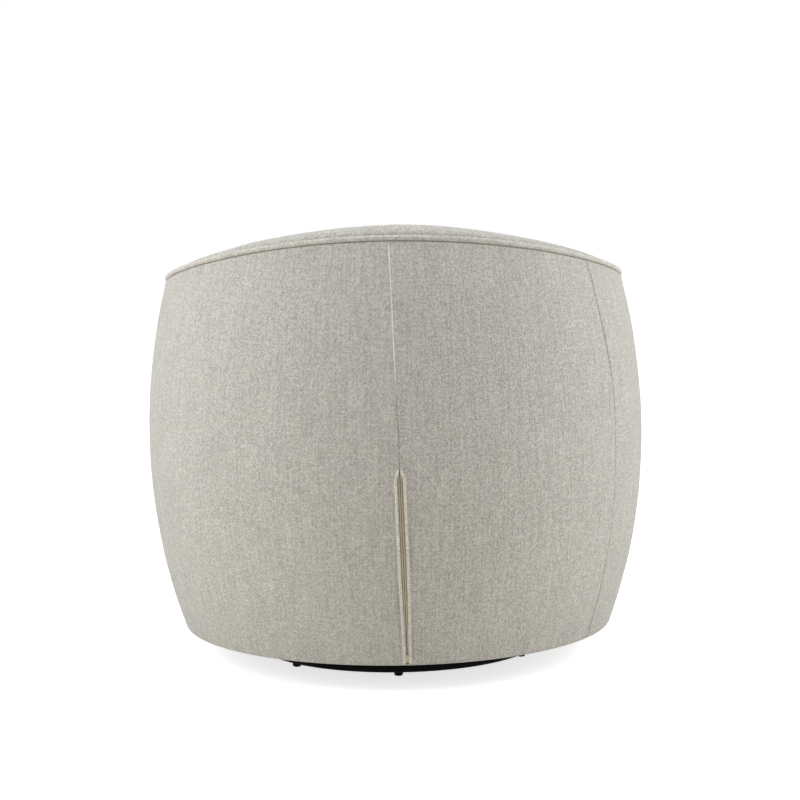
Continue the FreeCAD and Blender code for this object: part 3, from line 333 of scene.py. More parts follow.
def rim_height(y):
    """The height of the rim line, seen from the side."""
    return RIM_LOW_HEIGHT + RIM_ARC - np.sqrt(RIM_ARC ** 2 - (y + RIM_LOW_FORWARD) ** 2)


def crown_height(y):
    """How far the roll stands over the rim line: most in the middle of the back."""
    share = np.clip((y + ARM_END) / (CROWN_BACK + ARM_END), 0, 1)
    return ARM_CROWN + (BACK_CROWN - ARM_CROWN) * share ** CROWN_POWER


def around(azimuth, height, lift=0.0):
    """A point on the barrel, raised by the lift."""
    radius = barrel_radius(height) + lift
    turn = np.radians(azimuth)
    return np.stack([radius * np.sin(turn), radius * np.cos(turn), height + 0 * radius], axis=-1)


def middle_seam(height):
    """The azimuth of the middle seam, which leans."""
    lean = (np.asarray(height) - MIDDLE_SEAM_PIVOT) * math.tan(MIDDLE_SEAM_TILT) / barrel_radius(height)
    return MIDDLE_SEAM_TURN + np.degrees(np.arcsin(lean))


def rim_azimuth_height(azimuth):
    """The height of the rim line at an azimuth."""
    height = np.full(np.shape(azimuth), RIM_GUESS)
    for _ in range(6):
        height = rim_height(barrel_radius(height) * np.cos(np.radians(azimuth)))
    return height


def spread(length, fine, coarse, growth=1.3):
    """Shares from 0 to 1 with close spacing at both ends."""
    steps, step, reached = [], fine, 0.0
    while reached < length / 2:
        steps.append(step)
        reached += step
        step = min(step * growth, coarse)
    places = np.concatenate([[0], np.cumsum(steps + steps[::-1])])
    return places / places[-1]


def smooth_step(low, high, number):
    """From 0 at low to 1 at high, level at both."""
    share = np.clip((number - low) / (high - low), 0, 1)
    return share * share * (3 - 2 * share)


def waves(points, size, height, seed):
    """Slow unevenness, one number for each point."""
    flat = points.reshape(-1, 3) / size
    shift = Vector((seed * 7.3, seed * 3.1, seed * 5.7))
    rise = np.array([noise.noise(Vector(point) + shift) for point in flat])
    return height * rise.reshape(points.shape[:-1])


def placed(name, data):
    """A new object in the scene."""
    thing = bpy.data.objects.new(name, data)
    bpy.context.scene.collection.objects.link(thing)
    return thing


def make_grid(name, points, uvs, material, flip=False):
    """A smooth mesh from rows of points, with its map in metres."""
    rows, columns = points.shape[:2]
    number = np.arange(rows * columns).reshape(rows, columns)
    corners = (number[:-1, :-1], number[:-1, 1:], number[1:, 1:], number[1:, :-1])
    quads = np.stack(corners, axis=-1).reshape(-1, 4)
    if flip:
        quads = quads[:, ::-1]
    mesh = bpy.data.meshes.new(name)
    mesh.from_pydata(points.reshape(-1, 3).tolist(), [], quads.tolist())
    layer = mesh.uv_layers.new(name="metres")
    layer.data.foreach_set("uv", uvs.reshape(-1, 2)[quads.reshape(-1)].reshape(-1))
    mesh.polygons.foreach_set("use_smooth", [True] * len(quads))
    mesh.materials.append(material)
    return placed(name, mesh)


def arc_lengths(points):
    """How far along a path each of its points is."""
    steps = np.linalg.norm(np.diff(points, axis=0), axis=1)
    return np.concatenate([[0], np.cumsum(steps)])


def resampled(points, step):
    """The path with its points evenly apart."""
    lengths = arc_lengths(points)
    count = max(int(round(lengths[-1] / step)), 4)
    places = np.linspace(0, lengths[-1], count + 1)
    return np.stack([np.interp(places, lengths, points[:, axis]) for axis in range(3)], axis=-1)


def eased(points, rounds):
    """The path with its corners rounded off; the ends stay."""
    for _ in range(rounds):
        points = np.concatenate([points[:1], (points[:-2] + 2 * points[1:-1] + points[2:]) / 4, points[-1:]])
    return points


def away_from_axis(path):
    """The level direction away from the barrel's axis at each point of a path."""
    outward = path * (1, 1, 0)
    return outward / np.linalg.norm(outward, axis=1, keepdims=True)


def make_tube(name, path, outward, side_radius, rise_radius, material, count, closed=False, taper=0.0):
    """A tube of oval section along a path; outward gives the direction of its rise at each point."""
    if closed:
        tangent = np.roll(path, -1, axis=0) - np.roll(path, 1, axis=0)
    else:
        tangent = np.gradient(path, axis=0)
    tangent /= np.linalg.norm(tangent, axis=1, keepdims=True)
    outward = outward - tangent * np.sum(outward * tangent, axis=1, keepdims=True)
    outward /= np.linalg.norm(outward, axis=1, keepdims=True)
    side = np.cross(tangent, outward)
    size = np.ones(len(path))
    lengths = arc_lengths(path)
    if taper:
        from_end = np.minimum(lengths, lengths[-1] - lengths)
        size = np.sqrt(np.clip(1 - (1 - np.clip(from_end / taper, 0, 1)) ** 2, 1e-4, 1))
    turn = np.linspace(0, 2 * math.pi, count, endpoint=False)
    rings = path[None] + size[None, :, None] * (side_radius * np.cos(turn)[:, None, None] * side[None]
                                                + rise_radius * np.sin(turn)[:, None, None] * outward[None])
    rings = np.concatenate([rings, rings[:1]])
    girth = math.pi * (side_radius + rise_radius)
    uvs = np.stack(np.meshgrid(lengths, np.linspace(0, girth, count + 1)), axis=-1)
    if closed:
        rings = np.concatenate([rings, rings[:, :1]], axis=1)
        step = lengths[1]
        uvs = np.concatenate([uvs, uvs[:, -1:] + (step, 0)], axis=1)
    tube = make_grid(name, rings, uvs, material)
    weld(tube)
    return tube


def weld(thing, distance=0.02 * MM):
    """Joins the points of a mesh's own edges that meet."""
    shell = bmesh.new()
    shell.from_mesh(thing.data)
    bmesh.ops.remove_doubles(shell, verts=shell.verts, dist=distance)
    shell.to_mesh(thing.data)
    shell.free()


def settle(thing, body="chair", nodes=()):
    """Puts a piece on its body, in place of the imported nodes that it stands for."""
    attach(thing, body)
    if nodes:
        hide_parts(*nodes)
    return thing


# Outside covers
def tucked(distance, depth=2.6 * MM, reach=2.4 * MM):
    """How a cover dips into a seam, by the distance from its edge."""
    share = np.clip(1 - distance / reach, 0, 1)
    shoulder = 0.35 * MM * np.exp(-((distance - 5 * MM) / (3 * MM)) ** 2)
    return shoulder - depth * (1 - np.sqrt(1 - share ** 2))


def make_panel(name, start, end, top, seed, nodes, creases):
    """One outside cover between two edges given as azimuths by height, with the depths of their seams."""
    middle_height = np.array([BELLY_HEIGHT])
    girth = abs(math.radians(float(end(middle_height)[0] - start(middle_height)[0]))) * BARREL_RADIUS
    across = spread(girth, *PANEL_STEPS)
    sample = start(middle_height) + (end(middle_height) - start(middle_height)) * across
    tall = float(np.mean(top(sample))) - HEM_HEIGHT
    up = spread(tall, *PANEL_STEPS)[:, None]
    high = np.broadcast_to(top(sample)[None], (len(up), len(across)))
    for _ in range(4):
        height = HEM_HEIGHT + up * (high - HEM_HEIGHT)
        azimuth = start(height) + (end(height) - start(height)) * across[None]
        high = np.broadcast_to(top(azimuth[-1])[None], height.shape)
    height = HEM_HEIGHT + up * (high - HEM_HEIGHT)
    radius = barrel_radius(height)
    from_start = np.abs(np.radians(azimuth - start(height))) * radius
    from_end = np.abs(np.radians(azimuth - end(height))) * radius
    lift = tucked(from_start, creases[0] * MM) + tucked(from_end, creases[1] * MM)
    lift += tucked(high - height, *RIM_TUCK) + tucked(height - HEM_HEIGHT, *HEM_TUCK)
    base = around(azimuth, height)
    lift += waves(base, 110 * MM, 0.9 * MM, seed) + waves(base, 38 * MM, 0.3 * MM, seed + 1)
    rim_pull = np.exp(-(high - height) / (22 * MM))
    lift += rim_pull * waves(base * (1, 1, 0.25), 16 * MM, 0.45 * MM, seed + 2)
    points = around(azimuth, height, lift)
    uvs = np.stack([np.radians(azimuth) * BARREL_RADIUS, height], axis=-1)
    panel = make_grid(name, points, uvs, cover, flip=azimuth[0, -1] > azimuth[0, 0])
    settle(panel, nodes=nodes)


def arm_edge(side):
    """The azimuth where an arm's side meets its front, by height."""
    def edge(height):
        return side * np.degrees(np.arccos(np.clip(-ARM_END / barrel_radius(height), -1, 1)))
    return edge


def gap_edge(side):
    """The edge of a back cover beside the middle seam: under the zip's lip in the lower half."""
    def edge(height):
        opening = lip_gap(height) + 0.8 * MM * smooth_step(ZIP_TOP + 1 * MM, ZIP_TOP - 9 * MM, height)
        return middle_seam(height) + side * np.degrees(opening / barrel_radius(height))
    return edge


def straight_edge(azimuth):
    """An edge that stays at one azimuth."""
    def edge(height):
        return azimuth + 0 * np.asarray(height)
    return edge


def right_seam(height):
    """The seam that shows from behind, which comes nearer to the middle at the top."""
    return RIGHT_SEAM + RIGHT_SEAM_TURN * smooth_step(*RIGHT_SEAM_RISE, np.asarray(height))


def deck_line(azimuth):
    """The top of the front panel."""
    return np.full(np.shape(azimuth), DECK_HEIGHT - DECK_ROUND)


def make_outside():
    """The five outside covers."""
    def front_start(height):
        return arm_edge(1)(np.full(np.shape(height), DECK_HEIGHT))

    def front_end(height):
        return 360 + arm_edge(-1)(np.full(np.shape(height), DECK_HEIGHT))

    left, right = straight_edge(LEFT_SEAM), right_seam
    make_panel("outside_back_left_cover", gap_edge(1), left, rim_azimuth_height, 1,
               ["outside_back_left", "outer_wadding"], (0.6, 2))
    make_panel("outside_back_right_cover", gap_edge(-1), right, rim_azimuth_height, 2,
               ["outside_back_right"], (0.6, 2))
    make_panel("outside_arm_left_cover", left, arm_edge(1), rim_azimuth_height, 3,
               ["outside_arm_left"], (2, 2.6))
    make_panel("outside_arm_right_cover", right, arm_edge(-1), rim_azimuth_height, 4,
               ["outside_arm_right"], (2, 2.6))
    make_panel("front_panel_cover", front_start, front_end, deck_line, 5, ["front_cover"], (2.6, 2.6))


# Welt, roll and inside of the tub
def ray_to_barrel(start, direction, height):
    """How far the barrel is from each start, along its level direction."""
    along = np.sum(start * direction, axis=-1)
    gap = along ** 2 - np.sum(start ** 2, axis=-1) + barrel_radius(height) ** 2
    return -along + np.sqrt(gap)


def tub_plan(height):
    """The half width of the tub and the centre of its round back at a height."""
    share = (height - TUB_LOW) / (TUB_HIGH - TUB_LOW)
    half_width = SEAT_HALF_WIDTH + (RIM_HALF_WIDTH - SEAT_HALF_WIDTH) * share
    back = SEAT_BACK + (RIM_BACK - SEAT_BACK) * share
    return half_width, back - half_width


def ray_to_tub(start, direction, height):
    """How far the inside of the tub is from each start, along its level direction."""
    half_width, centre = tub_plan(height)
    away = start[..., 1] - centre
    along = away * direction[..., 1]
    root = np.sqrt(np.maximum(along ** 2 - start[..., 0] ** 2 - away ** 2 + half_width ** 2, 0))
    to_round = root - along
    to_side = half_width / np.maximum(np.abs(direction[..., 0]), 1e-6)
    at_side = start[..., 1] + to_side * direction[..., 1]
    return np.where(at_side <= centre, to_side, to_round)


def tub_rays(count_arm=26, count_back=150):
    """Start points and directions, in plan, from the left arm's front round the back to the right's."""
    turn_y = -2 * MM
    arm = np.concatenate([-ARM_END + np.array([0, 0.4, 1, 2, 4]) * MM,
                          np.linspace(-ARM_END + 8 * MM, turn_y, count_arm, endpoint=False)])
    angles = np.linspace(0, math.pi, count_back)
    starts = np.concatenate([np.stack([0 * arm, arm], -1), np.stack([0 * angles, 0 * angles + turn_y], -1),
                             np.stack([0 * arm, arm[::-1]], -1)])
    directions = np.concatenate([np.tile((1.0, 0.0), (len(arm), 1)),
                                 np.stack([np.cos(angles), np.sin(angles)], -1),
                                 np.tile((-1.0, 0.0), (len(arm), 1))])
    return starts, directions


def arm_seam(starts):
    """How deep the seam at an arm's front is, and how free of it the padding is."""
    behind = starts[:, 1] + ARM_END
    share = np.clip(1 - behind / ARM_SEAM_REACH, 0, 1)
    return ARM_SEAM * (1 - np.sqrt(1 - share ** 2)), smooth_step(0, 50 * MM, behind)


def roll_section(starts, directions, count=44):
    """Rows over the roll from the welt to the inside seam: distances along each ray, and heights."""
    rim = np.full(len(starts), RIM_GUESS)
    for _ in range(8):
        reach = ray_to_barrel(starts, directions, rim)
        rim = rim_height(starts[:, 1] + reach * directions[:, 1])
    outer = ray_to_barrel(starts, directions, rim + 6 * MM) - COVER_SINK
    outer_y = starts[:, 1] + outer * directions[:, 1]
    foot = rim + ROLL_FOOT
    inner_foot = rim - ROLL_INNER_DROP
    inner = ray_to_tub(starts, directions, inner_foot)
    crown = crown_height(outer_y)
    turn = np.linspace(0, math.pi, count)[:, None]
    flat = 2 / ROLL_SQUARENESS
    cosine = np.sign(np.cos(turn)) * np.abs(np.cos(turn)) ** flat
    sine = np.abs(np.sin(turn)) ** flat
    middle, half = (outer + inner) / 2, (outer - inner) / 2
    distance = middle + half * cosine
    base = np.where(turn < math.pi / 2, foot, inner_foot)
    top = rim + crown
    height = base + (top - base) * sine
    return distance, height, rim


def along_rays(starts, directions, distance, height):
    """The points at the distances along the rays, at the heights."""
    plan = starts[None] + distance[..., None] * directions[None]
    return np.concatenate([plan, height[..., None]], axis=-1)


def make_roll():
    """The padded roll along the rim."""
    starts, directions = tub_rays()
    distance, height, rim = roll_section(starts, directions)
    seam, free = arm_seam(starts)
    middle = (distance.max(axis=0) + distance.min(axis=0)) / 2
    out, up = distance - middle, height - rim
    length = np.hypot(out, up)
    points = along_rays(starts, directions, distance - seam * out / length, height - seam * up / length)
    soft = free * np.sin(np.linspace(0, math.pi, len(points)))[:, None]
    points[..., 2] += soft * (waves(points, 90 * MM, 1.6 * MM, 11) + waves(points, 30 * MM, 0.4 * MM, 12))
    outline = arc_lengths(points[0])
    profile = arc_lengths(points[:, len(starts) // 2])
    uvs = np.stack(np.meshgrid(outline, profile), axis=-1)
    roll = make_grid("top_roll_cover_soft", points, uvs, cover)
    settle(roll, nodes=["top_roll_cover", "top_roll_foam"])


def make_inside():
    """The cover of the tub's inside, from the roll down to the deck."""
    starts, directions = tub_rays()
    _, _, rim = roll_section(starts, directions)
    top = rim - ROLL_INNER_DROP
    low = DECK_HEIGHT - 9 * MM
    down = spread(280 * MM, 0.8 * MM, 7 * MM)[:, None]
    height = top + (low - top) * down
    distance = ray_to_tub(starts, directions, height)
    seam, free = arm_seam(starts)
    bulge = INSIDE_BULGE * smooth_step(440 * MM, 540 * MM, height) * smooth_step(0, 60 * MM, top - height)
    base = along_rays(starts, directions, distance, height)
    bulge = bulge - waves(base, 80 * MM, 1.4 * MM, 21) - waves(base, 30 * MM, 0.4 * MM, 22)
    distance = distance - free * bulge - tucked(top - height, 2 * MM, 3 * MM) + seam
    points = along_rays(starts, directions, distance, height)
    outline = arc_lengths(points[0])
    profile = arc_lengths(points[:, len(starts) // 2])
    uvs = np.stack(np.meshgrid(outline, -profile), axis=-1)
    inside = make_grid("inside_cover_soft", points, uvs, cover)
    settle(inside, nodes=["inside_cover", "inside_foam"])


def make_arm_front(side):
    """The rounded front of one arm, from its edges in to its middle line."""
    starts, directions = np.array([[0.0, -ARM_END]]), np.array([[1.0, 0.0]])
    over_x, over_z, _ = roll_section(starts, directions, 61)
    over_x, over_z = over_x[:, 0], over_z[:, 0]
    low = DECK_HEIGHT - 6 * MM
    rise = np.linspace(low, over_z[0], 60)[:-1]
    side_rays = np.repeat(starts, len(rise), axis=0), np.repeat(directions, len(rise), axis=0)
    outer = ray_to_barrel(*side_rays, rise) - COVER_SINK
    fall = np.linspace(over_z[-1], low, 60)[1:]
    inner = tub_plan(fall)[0]
    across, up = np.concatenate([outer, over_x, inner]), np.concatenate([rise, over_z, fall])
    edge = resampled(np.stack([across, up, 0 * up], axis=-1), 3 * MM)
    spine_z = np.minimum(edge[:, 1], over_z.max() - ARM_SPINE_DROP)
    spine_x = (np.interp(spine_z, rise, outer) + np.interp(spine_z, fall[::-1], inner[::-1])) / 2
    inward = np.stack([spine_x, spine_z, 0 * spine_x], axis=-1) - edge
    width = np.linalg.norm(inward, axis=1)
    near = np.array([0, 0.3, 0.8, 1.6, 3, 5, 7.5, 10.5, 14, 17.5, 21])[:, None] * MM
    far = near[-1] + (width[None] - near[-1]) * np.array([0.2, 0.45, 0.72, 1])[:, None]
    inset = np.concatenate([near + 0 * width[None], far])
    share = np.clip(inset / ARM_ROUND, 0, 1)
    forward = (ARM_FRONT - ARM_END) * np.sqrt(1 - (1 - share) ** 2)
    depth = inset + ARM_SEAM * np.exp(-forward / MM)
    place = edge[None] + (inward / width[:, None])[None] * depth[..., None]
    points = np.stack([side * place[..., 0], -ARM_END - forward, place[..., 1]], axis=-1)
    points[..., 1] += share ** 2 * (waves(points, 60 * MM, 1.4 * MM, 31 + side) - 1.2 * MM)
    name = "arm_front_left_soft" if side > 0 else "arm_front_right_soft"
    front = make_grid(name, points, place[..., :2], cover, flip=side < 0)
    weld(front)
    settle(front, nodes=["arm_front_covers", "arm_front_pads"] if side > 0 else [])


def welt_path():
    """Up the left arm's front edge, along the rim and down the right arm's, with its outward directions."""
    front_y = -ARM_END - WELT_RADIUS
    corner = float(rim_height(-ARM_END)) + WELT_RADIUS
    rise = np.linspace(DECK_HEIGHT - 10 * MM, corner, 60)
    side = np.sqrt((barrel_radius(rise) - WELT_SINK) ** 2 - front_y ** 2)
    upright = np.stack([side, 0 * rise + front_y, rise], axis=-1)
    turn = float(np.degrees(np.arccos(-ARM_END / barrel_radius(corner))))
    azimuth = np.linspace(turn, -turn, 420)
    rim = rim_azimuth_height(azimuth) + WELT_RADIUS
    top = around(azimuth, rim, -WELT_SINK)
    path = np.concatenate([upright, top[1:-1], upright[::-1] * (-1, 1, 1)])
    path = eased(resampled(path, 3.5 * MM), 6)
    return path, away_from_axis(path)


def make_welt():
    """The piped welt of the rim."""
    path, outward = welt_path()
    welt = make_tube("rim_welt_cord", path, outward, WELT_RADIUS, WELT_RADIUS, bias_cover, 16, taper=4 * MM)
    settle(welt, nodes=["rim_welt"])


# Middle seam and zip
def seam_path(low, high, shift, lift, step=3 * MM):
    """A path beside the middle seam, with its outward directions; shift and lift are functions of height."""
    height = np.arange(low, high, step)
    azimuth = middle_seam(height) + np.degrees(shift(height) / barrel_radius(height))
    path = around(azimuth, height, lift(height))
    return path, away_from_axis(path)


def lip_gap(height):
    """Half the width of the slit between the zip's lips, narrower towards its foot."""
    open_part = ZIP_FOOT_GAP + (ZIP_HALF_GAP - ZIP_FOOT_GAP) * smooth_step(*ZIP_WIDENS, height)
    return open_part * smooth_step(ZIP_TOP - 1 * MM, ZIP_TOP - 17 * MM, height)


def make_zip_lips():
    """The folded edges that stand over the zip, in a lighter cover that paints their highlight."""
    for side, name in ((1, "zip_lip_left"), (-1, "zip_lip_right")):
        path, outward = seam_path(HEM_HEIGHT + 1 * MM, ZIP_TOP + 1 * MM,
                                  lambda height: side * (lip_gap(height) + LIP_RADIUS),
                                  lambda height: LIP_LIFT)
        # The lighter cover paints the lips' highlight
        lip = make_tube(name, path, outward, LIP_RADIUS, 1.6 * MM, lip_cover_painted_highlight, 16, taper=6 * MM)
        settle(lip)


def make_seam_ridge():
    """The thin raised edge of the middle seam, which fades towards the zip, in a lighter cover that paints
    its highlight.
    """
    top = float(rim_azimuth_height(np.array([1.0]))[0])
    path, outward = seam_path(ZIP_TOP + 8 * MM, top - 1 * MM, lambda height: 0.0,
                              lambda height: -0.15 * MM - 1.7 * MM * smooth_step(*RIDGE_FADES, height))
    # The lighter cover paints the ridge's highlight
    ridge = make_tube("middle_seam_fold", path, outward, 1 * MM, 0.8 * MM, seam_cover_painted_highlight, 10, taper=4 * MM)
    settle(ridge)


def make_stitches():
    """Rows of stitches just outside the zip's lips."""
    for side, name in ((1, "zip_stitches_left"), (-1, "zip_stitches_right")):
        parts = []
        for low in np.arange(HEM_HEIGHT + 8 * MM, ZIP_TOP + 8 * MM, STITCH_PITCH):
            path, outward = seam_path(low, low + STITCH_LENGTH,
                                      lambda height: side * (lip_gap(height) + STITCH_FROM_SLIT),
                                      lambda height: STITCH_LIFT, 0.65 * MM)
            parts.append(make_tube("stitch", path, outward, 0.6 * MM, 0.5 * MM, thread, 6, taper=0.6 * MM))
        settle(joined(name, parts))


def joined(name, parts):
    """One object from several meshes."""
    whole = bmesh.new()
    for part in parts:
        whole.from_mesh(part.data)
    material = parts[0].data.materials[0]
    for part in parts:
        bpy.data.objects.remove(part)
    mesh = bpy.data.meshes.new(name)
    whole.to_mesh(mesh)
    whole.free()
    mesh.materials.append(material)
    return placed(name, mesh)


# Deck, hem and underside
def make_deck():
    """The plain cover under the cushion, rounded down at the front."""
    centre = np.array([0.0, -250 * MM])
    azimuth = np.linspace(0, 2 * math.pi, 420, endpoint=False)
    direction = np.stack([np.cos(azimuth), np.sin(azimuth)], axis=-1)
    start = np.tile(centre, (len(azimuth), 1))
    barrel_edge = ray_to_barrel(start, direction, DECK_HEIGHT - DECK_ROUND) - 0.4 * MM
    tub_edge = ray_to_tub(start, direction, DECK_HEIGHT)
    reach_line = (-ARM_END - 4 * MM - centre[1]) / np.maximum(direction[:, 1], 1e-9)
    side_line = np.where(direction[:, 1] > 0, reach_line, 1.0)
    past_arms = side_line * np.abs(direction[:, 0]) < SEAT_HALF_WIDTH
    edge = np.where((direction[:, 1] > 0) & past_arms, np.maximum(tub_edge, side_line),
                    np.minimum(barrel_edge, side_line))
    at_front = barrel_edge <= edge + 1e-9
    rounding = np.where(at_front, DECK_ROUND, 1 * MM)
    inner = np.linspace(0, 1, 46) ** 0.8
    flat = inner[:, None] * (edge - rounding)[None]
    dip = 1.2 * MM * np.sin(np.clip(flat / edge, 0, 1) * math.pi * 3) ** 2
    height = DECK_HEIGHT - dip
    turn = np.linspace(0, math.pi / 2, 7)[1:, None]
    round_reach = (edge - rounding)[None] + rounding[None] * np.sin(turn)
    round_height = DECK_HEIGHT - DECK_ROUND * (1 - np.cos(turn)) + 0 * round_reach
    distance = np.concatenate([flat, round_reach])
    height = np.concatenate([height, round_height])
    plan = start[None] + distance[..., None] * direction[None]
    points = np.concatenate([plan, height[..., None]], axis=-1)
    uvs = plan.copy()
    points = np.concatenate([points, points[:, :1]], axis=1)
    uvs = np.concatenate([uvs, uvs[:, :1]], axis=1)
    deck = make_grid("deck_cover_soft", points, uvs, deck_cover, flip=True)
    weld(deck)
    settle(deck, nodes=["deck_cover", "deck_pad"])


def make_hem():
    """The cover's turned edge under the hem."""
    azimuth = np.linspace(0, 360, 500, endpoint=False)
    section = MM * np.array([(0, 2.4), (0, 0.9), (0.4, 0.25), (1.1, 0), (4, 0), (12, 0.2), (21.5, 0.3),
                             (22.4, 1.2), (21.5, 2.2)])
    depth, rise = section[:, :1], section[:, 1:]
    height = HEM_HEIGHT + rise + 0 * azimuth[None]
    radius = barrel_radius(HEM_HEIGHT + 2 * MM) - 0.3 * MM - depth
    turn = np.radians(azimuth)[None]
    points = np.stack([radius * np.sin(turn), radius * np.cos(turn), height], axis=-1)
    lengths = arc_lengths(np.concatenate([depth, rise, 0 * rise], axis=1))
    uvs = np.stack(np.meshgrid(turn[0] * 350 * MM, lengths), axis=-1)
    points = np.concatenate([points, points[:, :1]], axis=1)
    uvs = np.concatenate([uvs, uvs[:, -1:] + uvs[:, 1:2] - uvs[:, :1]], axis=1)
    hem = make_grid("hem_fold_cover", points, uvs, cover)
    weld(hem)
    settle(hem, nodes=["hem_fold"])


def make_dust_cover():
    """The black cloth under the frame, with a slight sag."""
    bore, rim = 140 * MM, 341 * MM
    azimuth = np.linspace(0, 2 * math.pi, 240, endpoint=False)
    radius = np.linspace(bore, rim, 26)[:, None]
    share = (radius - bore) / (rim - bore)
    top = 57.6 * MM
    flat = np.stack([radius * np.sin(azimuth), radius * np.cos(azimuth), top + 0 * radius * azimuth], axis=-1)
    sag = 1.6 * MM * np.sin(share * math.pi) * (1 + waves(flat, 90 * MM, 0.8, 41))
    pull = 0.5 * MM * np.exp(-(1 - share) * 9) * np.sin(azimuth[None] * 36)
    flat[..., 2] -= sag + pull
    uvs = flat[..., :2].copy()
    points = np.concatenate([flat, flat[:, :1]], axis=1)
    uvs = np.concatenate([uvs, uvs[:, :1]], axis=1)
    cloth = make_grid("dust_cover_cloth", points, uvs, FINISHES["black_lining"], flip=True)
    weld(cloth)
    settle(cloth, nodes=["dust_cover"])


# The loose seat cushion
def cushion_outline(inset=0.0, step=7 * MM):
    """The T plan, clockwise from the middle of the back, drawn in by the inset."""
    half, front = CUSHION_HALF_WIDTH - inset, CUSHION_FRONT - inset
    ear, corner, notch = CUSHION_EAR + inset, CUSHION_CORNER - inset, CUSHION_NOTCH + inset
    centre = CUSHION_BACK - CUSHION_HALF_WIDTH

    def arc(cx, cy, radius, start, end):
        count = max(int(abs(math.radians(end - start)) * radius / step), 4)
        turn = np.radians(np.linspace(start, end, count))
        return np.stack([cx + radius * np.cos(turn), cy + radius * np.sin(turn)], axis=-1)

    lean = front - corner
    ear_y = -ear - corner
    ear_x = math.sqrt(lean ** 2 - ear_y ** 2)
    swing = math.degrees(math.atan2(ear_y, ear_x))
    half_line = np.concatenate([
        arc(0, centre, half, 90, 0), arc(half + notch, -ear + notch, notch, 180, 270),
        arc(ear_x, ear_y, corner, 90, swing), arc(0, 0, front, swing, -90)])
    whole = np.concatenate([half_line, half_line[::-1][1:-1] * (-1, 1)])
    closed = np.concatenate([whole, whole[:1]])
    flat = np.concatenate([closed, np.zeros((len(closed), 1))], axis=1)
    return resampled(flat, step)[:-1, :2]


def make_cushion():
    """A welted box cushion: a block, remeshed, crowned, and blown up as cloth that its welts hold."""
    outline = cushion_outline(CUSHION_INSET)
    shell = bmesh.new()
    rings = []
    for height in (CUSHION_BOTTOM + CUSHION_SEAM, CUSHION_BOTTOM + CUSHION_EDGE):
        rings.append([shell.verts.new((x, y, height)) for x, y in outline])
    shell.faces.new(rings[0])
    shell.faces.new(rings[1][::-1])
    count = len(outline)
    for index in range(count):
        following = (index + 1) % count
        shell.faces.new((rings[0][following], rings[0][index], rings[1][index], rings[1][following]))
    bmesh.ops.recalc_face_normals(shell, faces=shell.faces)
    mesh = bpy.data.meshes.new("seat_cushion_soft")
    shell.to_mesh(mesh)
    shell.free()
    cushion = placed("seat_cushion_soft", mesh)
    remesh = cushion.modifiers.new("even", "REMESH")
    remesh.mode = "VOXEL"
    remesh.voxel_size = 6 * MM
    apply_modifiers(cushion)
    shape_cushion(cushion)
    inflate(cushion)
    unwrap_cushion(cushion)
    cushion.data.materials.append(cover)
    cushion.data.polygons.foreach_set("use_smooth", [True] * len(cushion.data.polygons))
    settle(cushion, "seat_cushion", ["cushion_cover", "cushion_core"])
    make_cushion_welts()


def apply_modifiers(thing):
    """Puts the modified mesh in place of the plain one."""
    graph = bpy.context.evaluated_depsgraph_get()
    settled = bpy.data.meshes.new_from_object(thing.evaluated_get(graph))
    thing.modifiers.clear()
    old = thing.data
    thing.data = settled
    bpy.data.meshes.remove(old)


def to_outline(points):
    """For each point, its distance in plan to the cushion's outline, and how far along that is."""
    outline = cushion_outline(0, 3 * MM)
    girth = arc_lengths(np.concatenate([outline, outline[:1]]))
    gap, along = np.zeros(len(points)), np.zeros(len(points))
    for chunk in np.array_split(np.arange(len(points)), 40):
        apart = np.linalg.norm(points[chunk, None, :2] - outline[None], axis=2)
        gap[chunk] = apart.min(axis=1)
        along[chunk] = girth[apart.argmin(axis=1)]
    return gap, along


def crown_at(points):
    """The rise of the cushion's top over its edge."""
    gap, _ = to_outline(points)
    share = np.clip(gap / CUSHION_SLOPE, 0, 1)
    return (CUSHION_PEAK - CUSHION_EDGE) * np.sqrt(1 - (1 - share) ** 2)


def mesh_points(thing):
    flat = np.empty(len(thing.data.vertices) * 3)
    thing.data.vertices.foreach_get("co", flat)
    return flat.reshape(-1, 3)


def shape_cushion(cushion):
    """Crowns the top."""
    points = mesh_points(cushion)
    share = (points[:, 2] - CUSHION_BOTTOM) / CUSHION_EDGE
    points[:, 2] += crown_at(points) * smooth_step(0.6, 1.0, share)
    cushion.data.vertices.foreach_set("co", points.reshape(-1))
    cushion.data.update()


def inflate(cushion, most=9 * MM, pressure=4.0, steps=20):
    """Cloth under pressure, held underneath and at both welts; no point moves further than most."""
    before = mesh_points(cushion)
    gap, _ = to_outline(before)
    low = np.abs(before[:, 2] - CUSHION_BOTTOM - CUSHION_SEAM)
    high = np.abs(before[:, 2] - CUSHION_BOTTOM - CUSHION_EDGE)
    held = (gap < 7 * MM) & (np.minimum(low, high) < 5 * MM)
    under = low < 3 * MM
    pins = cushion.vertex_groups.new(name="welts")
    pins.add([int(index) for index in np.flatnonzero(held | under)], 1.0, "REPLACE")
    cloth = cushion.modifiers.new("cloth", "CLOTH")
    cloth.settings.vertex_group_mass = "welts"
    cloth.settings.use_pressure = True
    cloth.settings.uniform_pressure_force = pressure
    cloth.settings.shrink_min = -0.012
    cloth.settings.effector_weights.gravity = 0.0
    cloth.settings.quality = 6
    cloth.settings.bending_stiffness = 1.5
    cloth.point_cache.frame_start = 1
    cloth.point_cache.frame_end = steps
    scene = bpy.context.scene
    for step in range(1, steps + 1):
        scene.frame_set(step)
    apply_modifiers(cushion)
    scene.frame_set(1)
    after = mesh_points(cushion)
    move = after - before
    length = np.linalg.norm(move, axis=1, keepdims=True)
    move *= most * np.tanh(length / most) / np.maximum(length, 1e-9)
    cushion.data.vertices.foreach_set("co", (before + move).reshape(-1))
    cushion.data.update()


